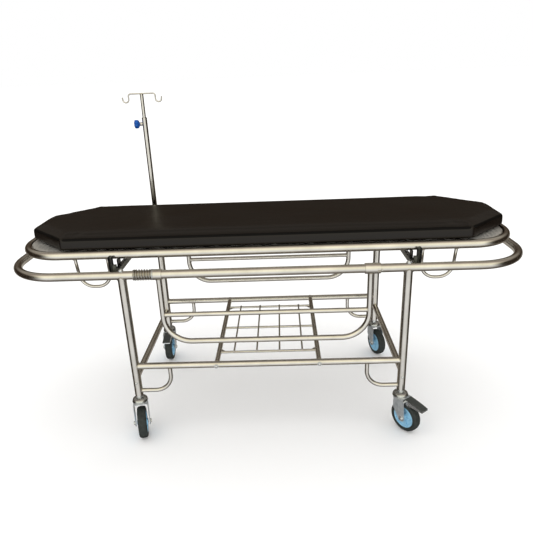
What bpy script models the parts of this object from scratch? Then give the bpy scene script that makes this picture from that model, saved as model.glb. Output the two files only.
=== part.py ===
"""Ambulance cot: a wheeled steel trolley that carries a lift-off stretcher with its mattress.

Metres, +Z up. The origin is on the floor, under the middle of the trolley's bumper frame.
+X runs along the cot and -Y is the side of the rail whose spring faces -X.
"""

import math

import bmesh
import bpy
from mathutils import Matrix, Vector

GAP = 0.0003  # between pieces that touch
COPE = 0.0005  # added to a radius when one tube end is shaped round another tube

# Trolley frame
TUBE_R = 0.016
BUMPER_HALF_LENGTH = 0.970
BUMPER_HALF_WIDTH = 0.304
BUMPER_Z = 0.680
BUMPER_CORNER_R = 0.198
LEG_X = 0.517
LEG_BOTTOM_Z = 0.171
LOWER_TUBE_R = 0.0125
SIDE_TUBE_Z = 0.300
END_TUBE_Z = 0.250
BRACE_R = 0.008
BRACE_Z = 0.190
BRACE_X = 0.382
BRACE_BEND_R = 0.065
BEAM_X = 0.5335
BEAM_WIDTH = 0.015
BEAM_HEIGHT = 0.020
BEAM_Z = 0.692

# Shelf between the lower side tubes
SHELF_X = 0.199
SHELF_TUBE_R = 0.0095
SHELF_BAR_Y = 0.212
SHELF_BAR_R = 0.005
SHELF_WIRE_X = (0.0457, 0.137)
SHELF_WIRE_R = 0.0035

# Guard rails
RAIL_X = 0.383
RAIL_R = 0.0105
RAIL_DROP = 0.275
RAIL_MID_DROP = 0.1625
RAIL_BEND_R = 0.100
SLEEVE_R = 0.0197
SPRING_SLEEVE = (-0.4000, -0.3690)
LOCK_SLEEVE = (0.3620, 0.4170)
NOTCH_DEPTH = 0.012
WASHER_THICK = 0.003
SPRING_RADIUS = 0.0188
SPRING_WIRE_R = 0.0016
SPRING_TURNS = 6
STOP_X = -0.4720

# Stretcher
STRETCHER_HALF_LENGTH = 0.927
STRETCHER_HALF_WIDTH = 0.250
STRETCHER_Z = 0.7435
STRETCHER_CORNER_R = 0.168
FOOT_X = 0.632
FOOT_HALF_WIDTH = 0.0570
FOOT_SPREAD = (0.003, 0.010)
FOOT_R = 0.006
FOOT_BOTTOM_Z = 0.618
PANEL_Z = 0.7540
PANEL_THICK = 0.0012
PANEL_RIB_HEIGHT = 0.003
PANEL_RIBS = 26
MATTRESS_X = 0.004
MATTRESS_HALF_LENGTH = 0.924
MATTRESS_HALF_WIDTH = 0.246
MATTRESS_CHAMFER = (0.171, 0.164)
MATTRESS_Z = (0.7600, 0.8035)
MATTRESS_CROWN = [(0.0000, -0.0070), (0.0050, 0.0000), (0.0160, 0.0065), (0.0340, 0.0120), (0.0600, 0.0160)]

# Casters: the angle is the way each wheel trails from its swivel axis
WHEEL_R = 0.0625
TRAIL = 0.032
TYRE_INNER_R = 0.0445
TYRE_WIDTH = 0.034
HUB_WIDTH = 0.042
FORK_WIDTH = 0.058
FORK_PLATE = 0.003
CROWN_Z = (0.1400, 0.1440)
AXLE_R = 0.005
PEDAL_WIDTH = 0.036
PEDAL_PLATE = 0.0025
WHEEL_STEPS = 20
CASTERS = {
    "front_near": (-1, -1, -76.0, False),
    "rear_near": (1, -1, -52.0, True),
    "rear_far": (1, 1, -69.0, False),
    "front_far": (-1, 1, -88.0, True),
}

# Infusion pole over the far leg at the -X end
POLE_R = 0.011
POLE_BORE_R = 0.0095
POLE_BOTTOM_Z = 0.704
POLE_TOP_Z = 1.181
ROD_R = 0.0075
ROD_BOTTOM_Z = 0.790
HOOK_BAR_Z = 1.281
HOOK_BAR_HALF = 0.058
HOOK_WIRE_R = 0.003
HOOK_R = 0.0130
SOCKET_R = 0.0145
SOCKET_TOP_Z = 0.765
KNOB_Z = 1.155
KNOB_R = 0.0185
KNOB_X = -0.036
SCREW_R = 0.004

ENDS = {"front": -1, "rear": 1}
SIDES = {"near": -1, "far": 1}
CORNERS = [(end, side) for end in ENDS for side in SIDES]

MATERIALS = {}
PARTS = None
CUTTERS = None


# ---------------------------------------------------------------- scene and materials


def clear_scene():
    for obj in list(bpy.data.objects):
        bpy.data.objects.remove(obj, do_unlink=True)


def new_collection(name):
    group = bpy.data.collections.new(name)
    bpy.context.scene.collection.children.link(group)
    return group


def add_material(name, colour, metallic, roughness):
    made = bpy.data.materials.new(name)
    made.use_nodes = True
    made.diffuse_color = (*colour, 1.0)
    shader = made.node_tree.nodes["Principled BSDF"]
    shader.inputs["Base Color"].default_value = (*colour, 1.0)
    shader.inputs["Metallic"].default_value = metallic
    shader.inputs["Roughness"].default_value = roughness
    MATERIALS[name] = made


def add_materials():
    add_material("stainless", (0.62, 0.60, 0.57), 1.0, 0.22)
    add_material("zinc", (0.56, 0.57, 0.58), 1.0, 0.30)
    add_material("spring_steel", (0.45, 0.44, 0.43), 1.0, 0.28)
    add_material("black_paint", (0.012, 0.012, 0.012), 0.0, 0.45)
    add_material("vinyl", (0.022, 0.017, 0.014), 0.0, 0.50)
    add_material("tyre_rubber", (0.035, 0.036, 0.038), 0.0, 0.70)
    add_material("hub_plastic", (0.150, 0.300, 0.420), 0.0, 0.45)
    add_material("pedal_steel", (0.080, 0.080, 0.085), 0.2, 0.50)
    add_material("nylon", (0.750, 0.740, 0.700), 0.0, 0.50)
    add_material("knob_plastic", (0.010, 0.080, 0.420), 0.0, 0.30)


def place(obj, name, material):
    """Names an object, gives it its material and puts it in the cot's collection alone."""
    obj.name = name
    obj.data.name = name
    for group in list(obj.users_collection):
        group.objects.unlink(obj)
    PARTS.objects.link(obj)
    obj.data.materials.clear()
    obj.data.materials.append(MATERIALS[material])
    return obj


def as_helper(obj):
    """Keeps an object for a Boolean only."""
    for group in list(obj.users_collection):
        group.objects.unlink(obj)
    CUTTERS.objects.link(obj)
    obj.hide_render = True
    obj.display_type = "WIRE"
    return obj


def boolean(obj, other, operation):
    """Adds a Boolean whose other shape then moves with the object."""
    other.parent = obj
    other.matrix_parent_inverse = obj.matrix_basis.inverted()
    step = obj.modifiers.new(operation.title(), "BOOLEAN")
    step.operation = operation
    step.solver = "EXACT"
    step.object = as_helper(other)


def bevel(obj, width, segments=2, angle=40.0):
    step = obj.modifiers.new("Bevel", "BEVEL")
    step.width = width
    step.segments = segments
    step.limit_method = "ANGLE"
    step.angle_limit = math.radians(angle)


def smooth(obj, angle=40.0):
    for face in obj.data.polygons:
        face.use_smooth = True
    obj.data.set_sharp_from_angle(angle=math.radians(angle))
    return obj


# ---------------------------------------------------------------- shapes


def cylinder(name, material, radius, start, end, sides=12, origin=None):
    """A solid round bar from start to end, with its origin at its middle unless one is given."""
    start, end = Vector(start), Vector(end)
    bpy.ops.mesh.primitive_cylinder_add(vertices=sides, radius=radius, depth=(end - start).length)
    obj = bpy.context.object
    turn = (end - start).to_track_quat("Z", "Y").to_matrix().to_4x4()
    obj.data.transform(turn)
    put_origin(obj, (start + end) / 2, origin)
    place(obj, name, material)
    return smooth(obj)


def box(name, material, low, high, origin=None):
    low, high = Vector(low), Vector(high)
    bpy.ops.mesh.primitive_cube_add(size=1)
    obj = bpy.context.object
    obj.data.transform(Matrix.Diagonal((*(high - low), 1.0)))
    put_origin(obj, (low + high) / 2, origin)
    return place(obj, name, material)


def put_origin(obj, middle, origin):
    """Places a shape centred on its own origin at middle, and moves its origin if one is given."""
    obj.location = middle
    if origin is not None:
        obj.data.transform(Matrix.Translation(middle - Vector(origin)))
        obj.location = origin


def curve_object(name, material, points, closed):
    data = bpy.data.curves.new(name, "CURVE")
    data.dimensions = "3D"
    spline = data.splines.new("POLY")
    spline.points.add(len(points) - 1)
    for knot, point in zip(spline.points, points):
        knot.co = (*point, 1.0)
    spline.use_cyclic_u = closed
    obj = bpy.data.objects.new(name, data)
    bpy.context.scene.collection.objects.link(obj)
    return place(obj, name, material)


def rod(name, material, radius, points, closed=False, resolution=3):
    """A round bar or tube along a path."""
    obj = curve_object(name, material, points, closed)
    obj.data.bevel_depth = radius
    obj.data.bevel_resolution = resolution
    obj.data.use_fill_caps = not closed
    return obj


def plate(name, material, outline, thickness):
    """A flat piece in its own XY plane, centred on it."""
    obj = curve_object(name, material, [(x, y, 0.0) for x, y in outline], True)
    obj.data.dimensions = "2D"
    obj.data.fill_mode = "BOTH"
    obj.data.extrude = thickness / 2
    return obj


def to_mesh(obj, material):
    """Turns a curve object into a mesh object that Booleans accept."""
    bpy.context.view_layer.update()
    graph = bpy.context.evaluated_depsgraph_get()
    mesh = bpy.data.meshes.new_from_object(obj.evaluated_get(graph))
    shape = bmesh.new()
    shape.from_mesh(mesh)
    bmesh.ops.remove_doubles(shape, verts=shape.verts, dist=0.00001)
    bmesh.ops.recalc_face_normals(shape, faces=shape.faces)
    shape.to_mesh(mesh)
    shape.free()
    made = bpy.data.objects.new(obj.name, mesh)
    made.matrix_world = obj.matrix_world.copy()
    bpy.context.scene.collection.objects.link(made)
    name = obj.name
    bpy.data.objects.remove(obj, do_unlink=True)
    return smooth(place(made, name, material))


def turned(name, material, profile, steps=20, closed=False):
    """A shape turned about Z from (radius, height) points down its outer side."""
    mesh = bpy.data.meshes.new(name)
    count = len(profile)
    edges = [(i, i + 1) for i in range(count - 1)]
    if closed:
        edges.append((count - 1, 0))
    mesh.from_pydata([(r, 0.0, z) for r, z in profile], edges, [])
    obj = bpy.data.objects.new(name, mesh)
    bpy.context.scene.collection.objects.link(obj)
    place(obj, name, material)
    step = obj.modifiers.new("Screw", "SCREW")
    step.steps = steps
    step.render_steps = steps
    step.use_merge_vertices = True
    step.merge_threshold = 0.00001
    step.use_smooth_shade = True
    return obj


def arc(centre, radius, start, end, steps):
    """Points round an arc, with angles in degrees."""
    found = []
    for i in range(steps + 1):
        angle = math.radians(start + (end - start) * i / steps)
        found.append((centre[0] + radius * math.cos(angle), centre[1] + radius * math.sin(angle)))
    return found


def rounded_path(corners, radius, steps):
    """An open path through the corners, with each inner one rounded."""
    corners = [Vector(corner) for corner in corners]
    path = [corners[0]]
    for before, corner, after in zip(corners, corners[1:], corners[2:]):
        back, ahead = (before - corner).normalized(), (after - corner).normalized()
        half = back.angle(ahead) / 2
        centre = corner + (back + ahead).normalized() * radius / math.sin(half)
        first = corner + back * radius / math.tan(half)
        last = corner + ahead * radius / math.tan(half)
        start, end = first - centre, last - centre
        axis, sweep = start.cross(end).normalized(), start.angle(end)
        for i in range(steps + 1):
            path.append(centre + Matrix.Rotation(sweep * i / steps, 3, axis) @ start)
    path.append(corners[-1])
    return path


def rounded_rectangle(half_length, half_width, radius, steps):
    found = []
    for sx, sy, start in ((1, 1, 0), (-1, 1, 90), (-1, -1, 180), (1, -1, 270)):
        centre = (sx * (half_length - radius), sy * (half_width - radius))
        found += arc(centre, radius, start, start + 90, steps)
    return found


# ---------------------------------------------------------------- trolley


def add_bumper():
    outline = rounded_rectangle(BUMPER_HALF_LENGTH, BUMPER_HALF_WIDTH, BUMPER_CORNER_R, 7)
    rod("bumper_loop", "stainless", TUBE_R, [(x, y, BUMPER_Z) for x, y in outline], closed=True)


def bumper_cutter(side):
    y = side * BUMPER_HALF_WIDTH
    ends = (-BUMPER_HALF_LENGTH, y, BUMPER_Z), (BUMPER_HALF_LENGTH, y, BUMPER_Z)
    return cylinder("bumper_cutter", "stainless", TUBE_R + COPE, *ends, sides=24)


def leg_cutter(end, side):
    x, y = end * LEG_X, side * BUMPER_HALF_WIDTH
    ends = (x, y, LEG_BOTTOM_Z - TUBE_R), (x, y, BUMPER_Z)
    return cylinder("leg_cutter", "stainless", TUBE_R + COPE, *ends, sides=24)


def add_leg(end, side):
    x, y = ENDS[end] * LEG_X, SIDES[side] * BUMPER_HALF_WIDTH
    ends = (x, y, LEG_BOTTOM_Z), (x, y, BUMPER_Z)
    leg = cylinder(f"leg_{end}_{side}", "stainless", TUBE_R, *ends, sides=14)
    boolean(leg, bumper_cutter(SIDES[side]), "DIFFERENCE")


def add_leg_nut(end, side):
    """The domed nut over each leg's through bolt, on top of the bumper."""
    base = 0.0
    profile = [(0.0, 0.0095), (0.0050, 0.0085), (0.0075, 0.0058), (0.0100, 0.0052)]
    profile += [(0.0100, base), (0.0, base)]
    nut = turned(f"leg_nut_{end}_{side}", "stainless", profile, steps=10)
    top = BUMPER_Z + TUBE_R + GAP
    nut.location = (ENDS[end] * LEG_X, SIDES[side] * BUMPER_HALF_WIDTH, top)


def shelf_nut(end, side):
    """The domed nut that holds a shelf tube, on the outer face of the lower side tube."""
    profile = [(0.0, 0.0105), (0.0055, 0.0085), (0.0070, 0.0055), (0.0085, 0.0050)]
    profile += [(0.0085, -0.0030), (0.0, -0.0030)]
    nut = turned("shelf_nut", "stainless", profile, steps=8)
    nut.location = (end * SHELF_X, side * (BUMPER_HALF_WIDTH + LOWER_TUBE_R), SIDE_TUBE_Z)
    nut.rotation_euler = (-side * math.pi / 2, 0.0, 0.0)
    return nut


def add_lower_tubes():
    for side, y_sign in SIDES.items():
        y = y_sign * BUMPER_HALF_WIDTH
        ends = (-LEG_X, y, SIDE_TUBE_Z), (LEG_X, y, SIDE_TUBE_Z)
        tube = cylinder(f"lower_side_tube_{side}", "stainless", LOWER_TUBE_R, *ends)
        for end in ENDS.values():
            boolean(tube, leg_cutter(end, y_sign), "DIFFERENCE")
            boolean(tube, shelf_nut(end, y_sign), "UNION")
    for end, x_sign in ENDS.items():
        x = x_sign * LEG_X
        ends = (x, -BUMPER_HALF_WIDTH, END_TUBE_Z), (x, BUMPER_HALF_WIDTH, END_TUBE_Z)
        tube = cylinder(f"lower_end_tube_{end}", "stainless", LOWER_TUBE_R, *ends)
        for side in SIDES.values():
            boolean(tube, leg_cutter(x_sign, side), "DIFFERENCE")


def add_brace(end, side):
    """The bent rod from a leg's foot up to the lower side tube."""
    sign, y = ENDS[end], SIDES[side] * BUMPER_HALF_WIDTH
    start = Vector((sign * (LEG_X - TUBE_R - GAP), y, BRACE_Z))
    corner = Vector((sign * BRACE_X, y, BRACE_Z))
    top = Vector((sign * BRACE_X, y, SIDE_TUBE_Z - LOWER_TUBE_R - GAP))
    path = rounded_path((start, corner, top), BRACE_BEND_R, 6)
    rod(f"brace_{end}_{side}", "stainless", BRACE_R, path, resolution=2)


def add_cross_beam(end):
    """The black beam that the stretcher rests on, with a pad plate and an end stop on a low web at each side."""
    sign = ENDS[end]
    reach = BUMPER_HALF_WIDTH - TUBE_R - GAP
    name = f"cross_beam_{end}"
    low_z, high_z = BEAM_Z - BEAM_HEIGHT / 2, BEAM_Z + BEAM_HEIGHT / 2
    x = sorted((sign * (BEAM_X - BEAM_WIDTH / 2), sign * (BEAM_X + BEAM_WIDTH / 2)))
    beam = box(name, "black_paint", (x[0], -reach, low_z), (x[1], reach, high_z))
    pad_top = STRETCHER_Z - TUBE_R - GAP
    pad_x = sorted((sign * (BEAM_X + 0.0015), sign * (BEAM_X + 0.0075)))
    web_x = sorted((sign * BEAM_X, sign * (BEAM_X + 0.020)))
    stop_x = sorted((sign * (BEAM_X + 0.0175), sign * (BEAM_X + 0.0325)))
    for side in SIDES.values():
        pad_y = sorted((side * (STRETCHER_HALF_WIDTH - 0.018), side * (STRETCHER_HALF_WIDTH + 0.012)))
        pad = box(f"{name}_pad", "black_paint", (pad_x[0], pad_y[0], BEAM_Z), (pad_x[1], pad_y[1], pad_top))
        boolean(beam, pad, "UNION")
        stop_y = sorted((side * (STRETCHER_HALF_WIDTH + 0.018), side * (reach - 0.002)))
        web_low = (web_x[0], stop_y[0] + 0.001, low_z + 0.004)
        web_high = (web_x[1], stop_y[1] - 0.001, high_z + 0.010)
        boolean(beam, box(f"{name}_web", "black_paint", web_low, web_high), "UNION")
        stop = box(
            f"{name}_stop",
            "black_paint",
            (stop_x[0], stop_y[0], low_z + 0.002),
            (stop_x[1], stop_y[1], STRETCHER_Z),
        )
        boolean(beam, stop, "UNION")


def add_shelf():
    """The open rack between the lower side tubes: two end tubes, three bars and four wires."""
    reach = BUMPER_HALF_WIDTH - LOWER_TUBE_R - GAP
    z = SIDE_TUBE_Z
    tubes = []
    for sign in (-1, 1):
        ends = (sign * SHELF_X, -reach, z), (sign * SHELF_X, reach, z)
        tubes.append(cylinder("shelf_rack", "stainless", SHELF_TUBE_R, *ends, sides=10))
    rack, other = tubes
    boolean(rack, other, "UNION")
    for y in (-SHELF_BAR_Y, 0.0, SHELF_BAR_Y):
        ends = (-SHELF_X, y, z), (SHELF_X, y, z)
        bar = cylinder("shelf_bar", "stainless", SHELF_BAR_R, *ends, sides=8)
        boolean(rack, bar, "UNION")
    for x in SHELF_WIRE_X:
        for sign in (-1, 1):
            high = z + SHELF_BAR_R
            ends = (sign * x, -SHELF_BAR_Y - 0.004, high), (sign * x, SHELF_BAR_Y + 0.004, high)
            wire = cylinder("shelf_wire", "stainless", SHELF_WIRE_R, *ends, sides=6)
            boolean(rack, wire, "UNION")


def add_caster_stem(name, x, y):
    """The fixed half of a caster: threaded stud with its lock nut, race cap and king pin."""
    profile = [
        (0.0, LEG_BOTTOM_Z - GAP),
        (0.0115, LEG_BOTTOM_Z - GAP),
        (0.0115, 0.1600),
        (0.0180, 0.1585),
        (0.0285, 0.1530),
        (0.0300, 0.1490),
        (0.0300, 0.1450),
        (0.0070, 0.1450),
        (0.0070, 0.1360),
        (0.0110, 0.1360),
        (0.0110, 0.1325),
        (0.0, 0.1325),
    ]
    stem = turned(f"caster_stem_{name}", "zinc", profile, steps=14)
    stem.location = (x, y, 0.0)


# ---------------------------------------------------------------- guard rails


def ring(name, material, x, y, thickness, bore, outer, steps=14):
    """A flat ring round the bumper tube."""
    half = thickness / 2
    profile = [(outer, half), (outer, -half), (bore, -half), (bore, half)]
    made = turned(name, material, profile, steps=steps, closed=True)
    made.location = (x, y, BUMPER_Z)
    made.rotation_euler = (0.0, math.pi / 2, 0.0)
    return made


def add_rail_spring(side, y):
    start = STOP_X + WASHER_THICK / 2 + GAP + SPRING_WIRE_R
    end = SPRING_SLEEVE[0] - WASHER_THICK - 3 * GAP - SPRING_WIRE_R
    count = SPRING_TURNS * 10
    points = []
    for i in range(count + 1):
        turn = 2 * math.pi * i / 10
        x = start + (end - start) * i / count
        offset = (SPRING_RADIUS * math.cos(turn), SPRING_RADIUS * math.sin(turn))
        points.append((x, y + offset[0], BUMPER_Z + offset[1]))
    rod(f"rail_spring_{side}", "spring_steel", SPRING_WIRE_R, points, resolution=1)


def add_guard_rail(side, y):
    """One welded rail: a U of tube with a middle bar, hung from two sleeves on the bumper."""
    name = f"guard_rail_{side}"
    top, bottom = -SLEEVE_R + 0.0040, -RAIL_DROP
    corners = ((-RAIL_X, 0, top), (-RAIL_X, 0, bottom), (RAIL_X, 0, bottom), (RAIL_X, 0, top))
    frame = rod(name, "stainless", RAIL_R, rounded_path(corners, RAIL_BEND_R, 7))
    frame = to_mesh(frame, "stainless")
    sleeves = (SPRING_SLEEVE, LOCK_SLEEVE)
    for low, high in sleeves:
        sleeve = cylinder("sleeve", "stainless", SLEEVE_R, (low, 0, 0), (high, 0, 0), sides=18)
        boolean(frame, sleeve, "UNION")
    ends = (-RAIL_X, 0, -RAIL_MID_DROP), (RAIL_X, 0, -RAIL_MID_DROP)
    boolean(frame, cylinder("mid_bar", "stainless", RAIL_R - 0.0015, *ends, sides=10), "UNION")
    low, high = sleeves[0][0] - 0.01, sleeves[1][1] + 0.01
    bore = cylinder("bore", "stainless", TUBE_R + COPE, (low, 0, 0), (high, 0, 0), sides=18)
    boolean(frame, bore, "DIFFERENCE")
    edge = LOCK_SLEEVE[1]
    notch = box("notch", "stainless", (edge - NOTCH_DEPTH, -0.03, -0.004), (edge + 0.01, 0.03, 0.004))
    boolean(frame, notch, "DIFFERENCE")
    frame.location = (0.0, y, BUMPER_Z)


def add_rail_set(side):
    y = SIDES[side] * BUMPER_HALF_WIDTH
    bore = TUBE_R + COPE
    ring(f"rail_stop_{side}", "stainless", STOP_X, y, WASHER_THICK, bore, SLEEVE_R)
    add_rail_spring(side, y)
    washer_x = SPRING_SLEEVE[0] - GAP - WASHER_THICK / 2
    ring(f"rail_washer_{side}", "zinc", washer_x, y, WASHER_THICK, bore, SLEEVE_R + 0.001)
    add_guard_rail(side, y)
    pin_r = 0.003
    pin_x = LOCK_SLEEVE[1] + pin_r + 2 * GAP
    near = SIDES[side] * (BUMPER_HALF_WIDTH + TUBE_R + GAP)
    far = near + SIDES[side] * 0.0055
    ends = (pin_x, near, BUMPER_Z), (pin_x, far, BUMPER_Z)
    cylinder(f"rail_lock_pin_{side}", "stainless", pin_r, *ends, sides=10)


# ---------------------------------------------------------------- stretcher


def add_stretcher_loop():
    """The stretcher's tube loop with its four welded rod feet."""
    outline = rounded_rectangle(STRETCHER_HALF_LENGTH, STRETCHER_HALF_WIDTH, STRETCHER_CORNER_R, 7)
    points = [(x, y, STRETCHER_Z) for x, y in outline]
    loop = to_mesh(rod("stretcher_loop", "stainless", TUBE_R, points, closed=True), "stainless")
    top = STRETCHER_Z - TUBE_R / 2
    for end in ENDS.values():
        for side in SIDES.values():
            y = side * STRETCHER_HALF_WIDTH
            inner, outer = end * (FOOT_X - FOOT_HALF_WIDTH), end * (FOOT_X + FOOT_HALF_WIDTH)
            corners = (
                (inner + end * FOOT_SPREAD[0], y, top),
                (inner, y, FOOT_BOTTOM_Z),
                (outer, y, FOOT_BOTTOM_Z),
                (outer + end * FOOT_SPREAD[1], y, top),
            )
            path = rounded_path(corners, FOOT_HALF_WIDTH - 0.005, 6)
            foot = to_mesh(rod("foot", "stainless", FOOT_R, path, resolution=2), "stainless")
            boolean(loop, foot, "UNION")


def add_bed_panel():
    """The pressed steel sheet inside the loop, with ribs across its width."""
    half_length = STRETCHER_HALF_LENGTH - 0.002
    pitch = 2 * half_length / PANEL_RIBS
    sheet = bmesh.new()
    rows = []
    for rib in range(PANEL_RIBS):
        start = -half_length + rib * pitch
        for share, height in ((0.0, 0.0), (0.56, 0.0), (0.68, 1.0), (0.88, 1.0)):
            z = height * PANEL_RIB_HEIGHT
            ends = [(start + share * pitch, y, z) for y in (-0.3, 0.3)]
            rows.append([sheet.verts.new(point) for point in ends])
    rows.append([sheet.verts.new((half_length, y, 0.0)) for y in (-0.3, 0.3)])
    for before, after in zip(rows, rows[1:]):
        sheet.faces.new((before[0], after[0], after[1], before[1]))
    mesh = bpy.data.meshes.new("bed_panel")
    sheet.to_mesh(mesh)
    sheet.free()
    panel = bpy.data.objects.new("bed_panel", mesh)
    bpy.context.scene.collection.objects.link(panel)
    place(panel, "bed_panel", "stainless")
    panel.location = (0.0, 0.0, PANEL_Z - PANEL_THICK)
    step = panel.modifiers.new("Solidify", "SOLIDIFY")
    step.thickness = PANEL_THICK
    step.offset = 1.0
    above = PANEL_Z - PANEL_THICK - STRETCHER_Z
    inset = math.sqrt(TUBE_R**2 - above**2) + 2 * GAP
    outline = rounded_rectangle(
        STRETCHER_HALF_LENGTH - inset, STRETCHER_HALF_WIDTH - inset, STRETCHER_CORNER_R - inset, 7
    )
    edge = to_mesh(plate("panel_outline", "stainless", outline, 0.05), "stainless")
    edge.location = (0.0, 0.0, PANEL_Z)
    boolean(panel, edge, "INTERSECT")


def cut_corner_outline(inset):
    """The pad's outline with its cut corners, moved in by the same distance all round."""
    length, width = MATTRESS_HALF_LENGTH - inset, MATTRESS_HALF_WIDTH - inset
    cut_x, cut_y = MATTRESS_CHAMFER
    spare = cut_x + cut_y - math.hypot(cut_x, cut_y)
    cut_x, cut_y = cut_x - inset * spare / cut_y, cut_y - inset * spare / cut_x
    outline = [(length, -width + cut_y), (length, width - cut_y), (length - cut_x, width)]
    outline += [(-x, y) for x, y in reversed(outline)]
    return outline + [(cut_x - length, -width), (length - cut_x, -width)]


def add_mattress():
    """One pad with cut corners, its top rising softly from the rim to a flat middle."""
    low, rim = MATTRESS_Z
    levels = [(0.0060, low), (0.0, low + 0.0060)]
    levels += [(inset, rim + rise) for inset, rise in MATTRESS_CROWN]
    points = []
    for inset, z in levels:
        points += [(x, y, z - low) for x, y in cut_corner_outline(inset)]
    count = len(cut_corner_outline(0.0))
    faces = [list(reversed(range(count))), list(range(len(points) - count, len(points)))]
    for level in range(len(levels) - 1):
        for i in range(count):
            j = (i + 1) % count
            first, second = level * count, (level + 1) * count
            faces.append((first + i, first + j, second + j, second + i))
    mesh = bpy.data.meshes.new("mattress")
    mesh.from_pydata(points, [], faces)
    pad = bpy.data.objects.new("mattress", mesh)
    bpy.context.scene.collection.objects.link(pad)
    pad.location = (MATTRESS_X, 0.0, low)
    smooth(place(pad, "mattress", "vinyl"))


# ---------------------------------------------------------------- casters


def add_fork(name, pivot, angle):
    """The swivelling half: a crown plate and two cheeks, bored for the king pin and axle."""
    half, low, high = FORK_WIDTH / 2, CROWN_Z[0], CROWN_Z[1]
    front, back, nose = -0.010, 0.040, -0.024
    cheek = [(front, high), (front, high - 0.044)]
    cheek += arc((TRAIL, WHEEL_R), 0.014, 205, 355, 6)
    cheek += [(back, high - 0.010), (back, high)]
    crown = [(front, -half), (0.030, -half), (0.030, half), (front, half), (nose, 0.016), (nose, -0.016)]
    fork = to_mesh(plate(f"caster_fork_{name}", "zinc", crown, high - low), "zinc")
    fork.data.transform(Matrix.Translation((0.0, 0.0, (low + high) / 2)))
    for sign in (-1, 1):
        side = plate("cheek", "zinc", cheek, FORK_PLATE)
        side = to_mesh(side, "zinc")
        side.data.transform(Matrix.Rotation(math.pi / 2, 4, "X"))
        side.location = (0.0, sign * (half - FORK_PLATE / 2), 0.0)
        boolean(fork, side, "UNION")
    pin = cylinder("pin_bore", "zinc", 0.0078, (0, 0, 0.10), (0, 0, 0.16), sides=12)
    boolean(fork, pin, "DIFFERENCE")
    ends = (TRAIL, -half - 0.01, WHEEL_R), (TRAIL, half + 0.01, WHEEL_R)
    boolean(fork, cylinder("axle_bore", "zinc", AXLE_R + COPE, *ends, sides=12), "DIFFERENCE")
    fork.parent = pivot
    fork.rotation_euler = (0.0, 0.0, angle)


def add_wheel(name, pivot, angle):
    """Hub, tyre and axle bolt, turned about the axle."""
    centre = Matrix.Rotation(angle, 3, "Z") @ Vector((TRAIL, 0.0, WHEEL_R))
    half, rim = HUB_WIDTH / 2, TYRE_WIDTH / 2 - 0.001
    hub_r = TYRE_INNER_R - GAP
    hub_profile = [
        (0.0120, half),
        (0.0130, rim - 0.006),
        (hub_r - 0.008, rim - 0.006),
        (hub_r - 0.003, rim),
        (hub_r, rim),
        (hub_r, -rim),
        (hub_r - 0.003, -rim),
        (hub_r - 0.008, 0.006 - rim),
        (0.0130, 0.006 - rim),
        (0.0120, -half),
        (AXLE_R + GAP, -half),
        (AXLE_R + GAP, half),
    ]
    hub = turned(f"caster_hub_{name}", "hub_plastic", hub_profile, steps=WHEEL_STEPS, closed=True)
    outer, inner, wide = WHEEL_R, TYRE_INNER_R, TYRE_WIDTH / 2
    tyre_profile = [
        (inner, wide),
        (outer - 0.004, wide),
        (outer - 0.001, wide - 0.005),
        (outer, wide - 0.010),
        (outer, 0.010 - wide),
        (outer - 0.001, 0.005 - wide),
        (outer - 0.004, -wide),
        (inner, -wide),
    ]
    tyre = turned(f"caster_tyre_{name}", "tyre_rubber", tyre_profile, steps=WHEEL_STEPS, closed=True)
    face = FORK_WIDTH / 2 + GAP
    axle_profile = [
        (0.0, face + 0.0050),
        (0.0085, face + 0.0050),
        (0.0085, face),
        (AXLE_R, face),
        (AXLE_R, -face),
        (0.0085, -face),
        (0.0085, -face - 0.0060),
        (0.0, -face - 0.0060),
    ]
    axle = turned(f"caster_axle_{name}", "zinc", axle_profile, steps=10)
    for piece in (hub, tyre, axle):
        piece.parent = pivot
        piece.location = centre
        piece.rotation_euler = (math.pi / 2, 0.0, angle)


def add_pedal(name, pivot, angle):
    """The brake pedal: a channel, open below, on a barrel that turns between the fork's cheeks."""
    hinge_x, hinge_z = 0.0350, 0.1345
    tread = [(0.002, 0.0130), (0.030, 0.0100), (0.058, 0.0050), (0.0845, -0.0015)]
    outline = [(0.0, -0.0040), (0.030, -0.0060), (0.058, -0.0060), (0.0845, -0.0085)] + tread[::-1]
    pedal = to_mesh(plate(f"brake_pedal_{name}", "pedal_steel", outline, PEDAL_WIDTH), "pedal_steel")
    hollow = [(-0.010, -0.020), (0.082, -0.020), (0.082, -0.0035)]
    hollow += [(x, z - PEDAL_PLATE) for x, z in reversed(tread[:-1])] + [(-0.010, 0.0130 - PEDAL_PLATE)]
    inside = to_mesh(plate("pedal_inside", "pedal_steel", hollow, PEDAL_WIDTH - 2 * PEDAL_PLATE), "pedal_steel")
    boolean(pedal, inside, "DIFFERENCE")
    for piece in (pedal, inside):
        piece.data.transform(Matrix.Rotation(math.pi / 2, 4, "X"))
    reach = FORK_WIDTH / 2 - FORK_PLATE - 2 * GAP
    barrel = cylinder("barrel", "pedal_steel", 0.004, (0, -reach, 0), (0, reach, 0), sides=10)
    boolean(pedal, barrel, "UNION")
    pedal.parent = pivot
    pedal.location = Matrix.Rotation(angle, 3, "Z") @ Vector((hinge_x, 0.0, hinge_z))
    pedal.rotation_euler = (0.0, 0.0, angle)


def add_caster(name, end, side, degrees, braked):
    x, y = end * LEG_X, side * BUMPER_HALF_WIDTH
    add_caster_stem(name, x, y)
    pivot = bpy.data.objects.new(f"caster_pivot_{name}", None)
    PARTS.objects.link(pivot)
    pivot.location = (x, y, 0.0)
    angle = math.radians(degrees)
    add_fork(name, pivot, angle)
    add_wheel(name, pivot, angle)
    if braked:
        add_pedal(name, pivot, angle)


# ---------------------------------------------------------------- infusion pole


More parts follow.
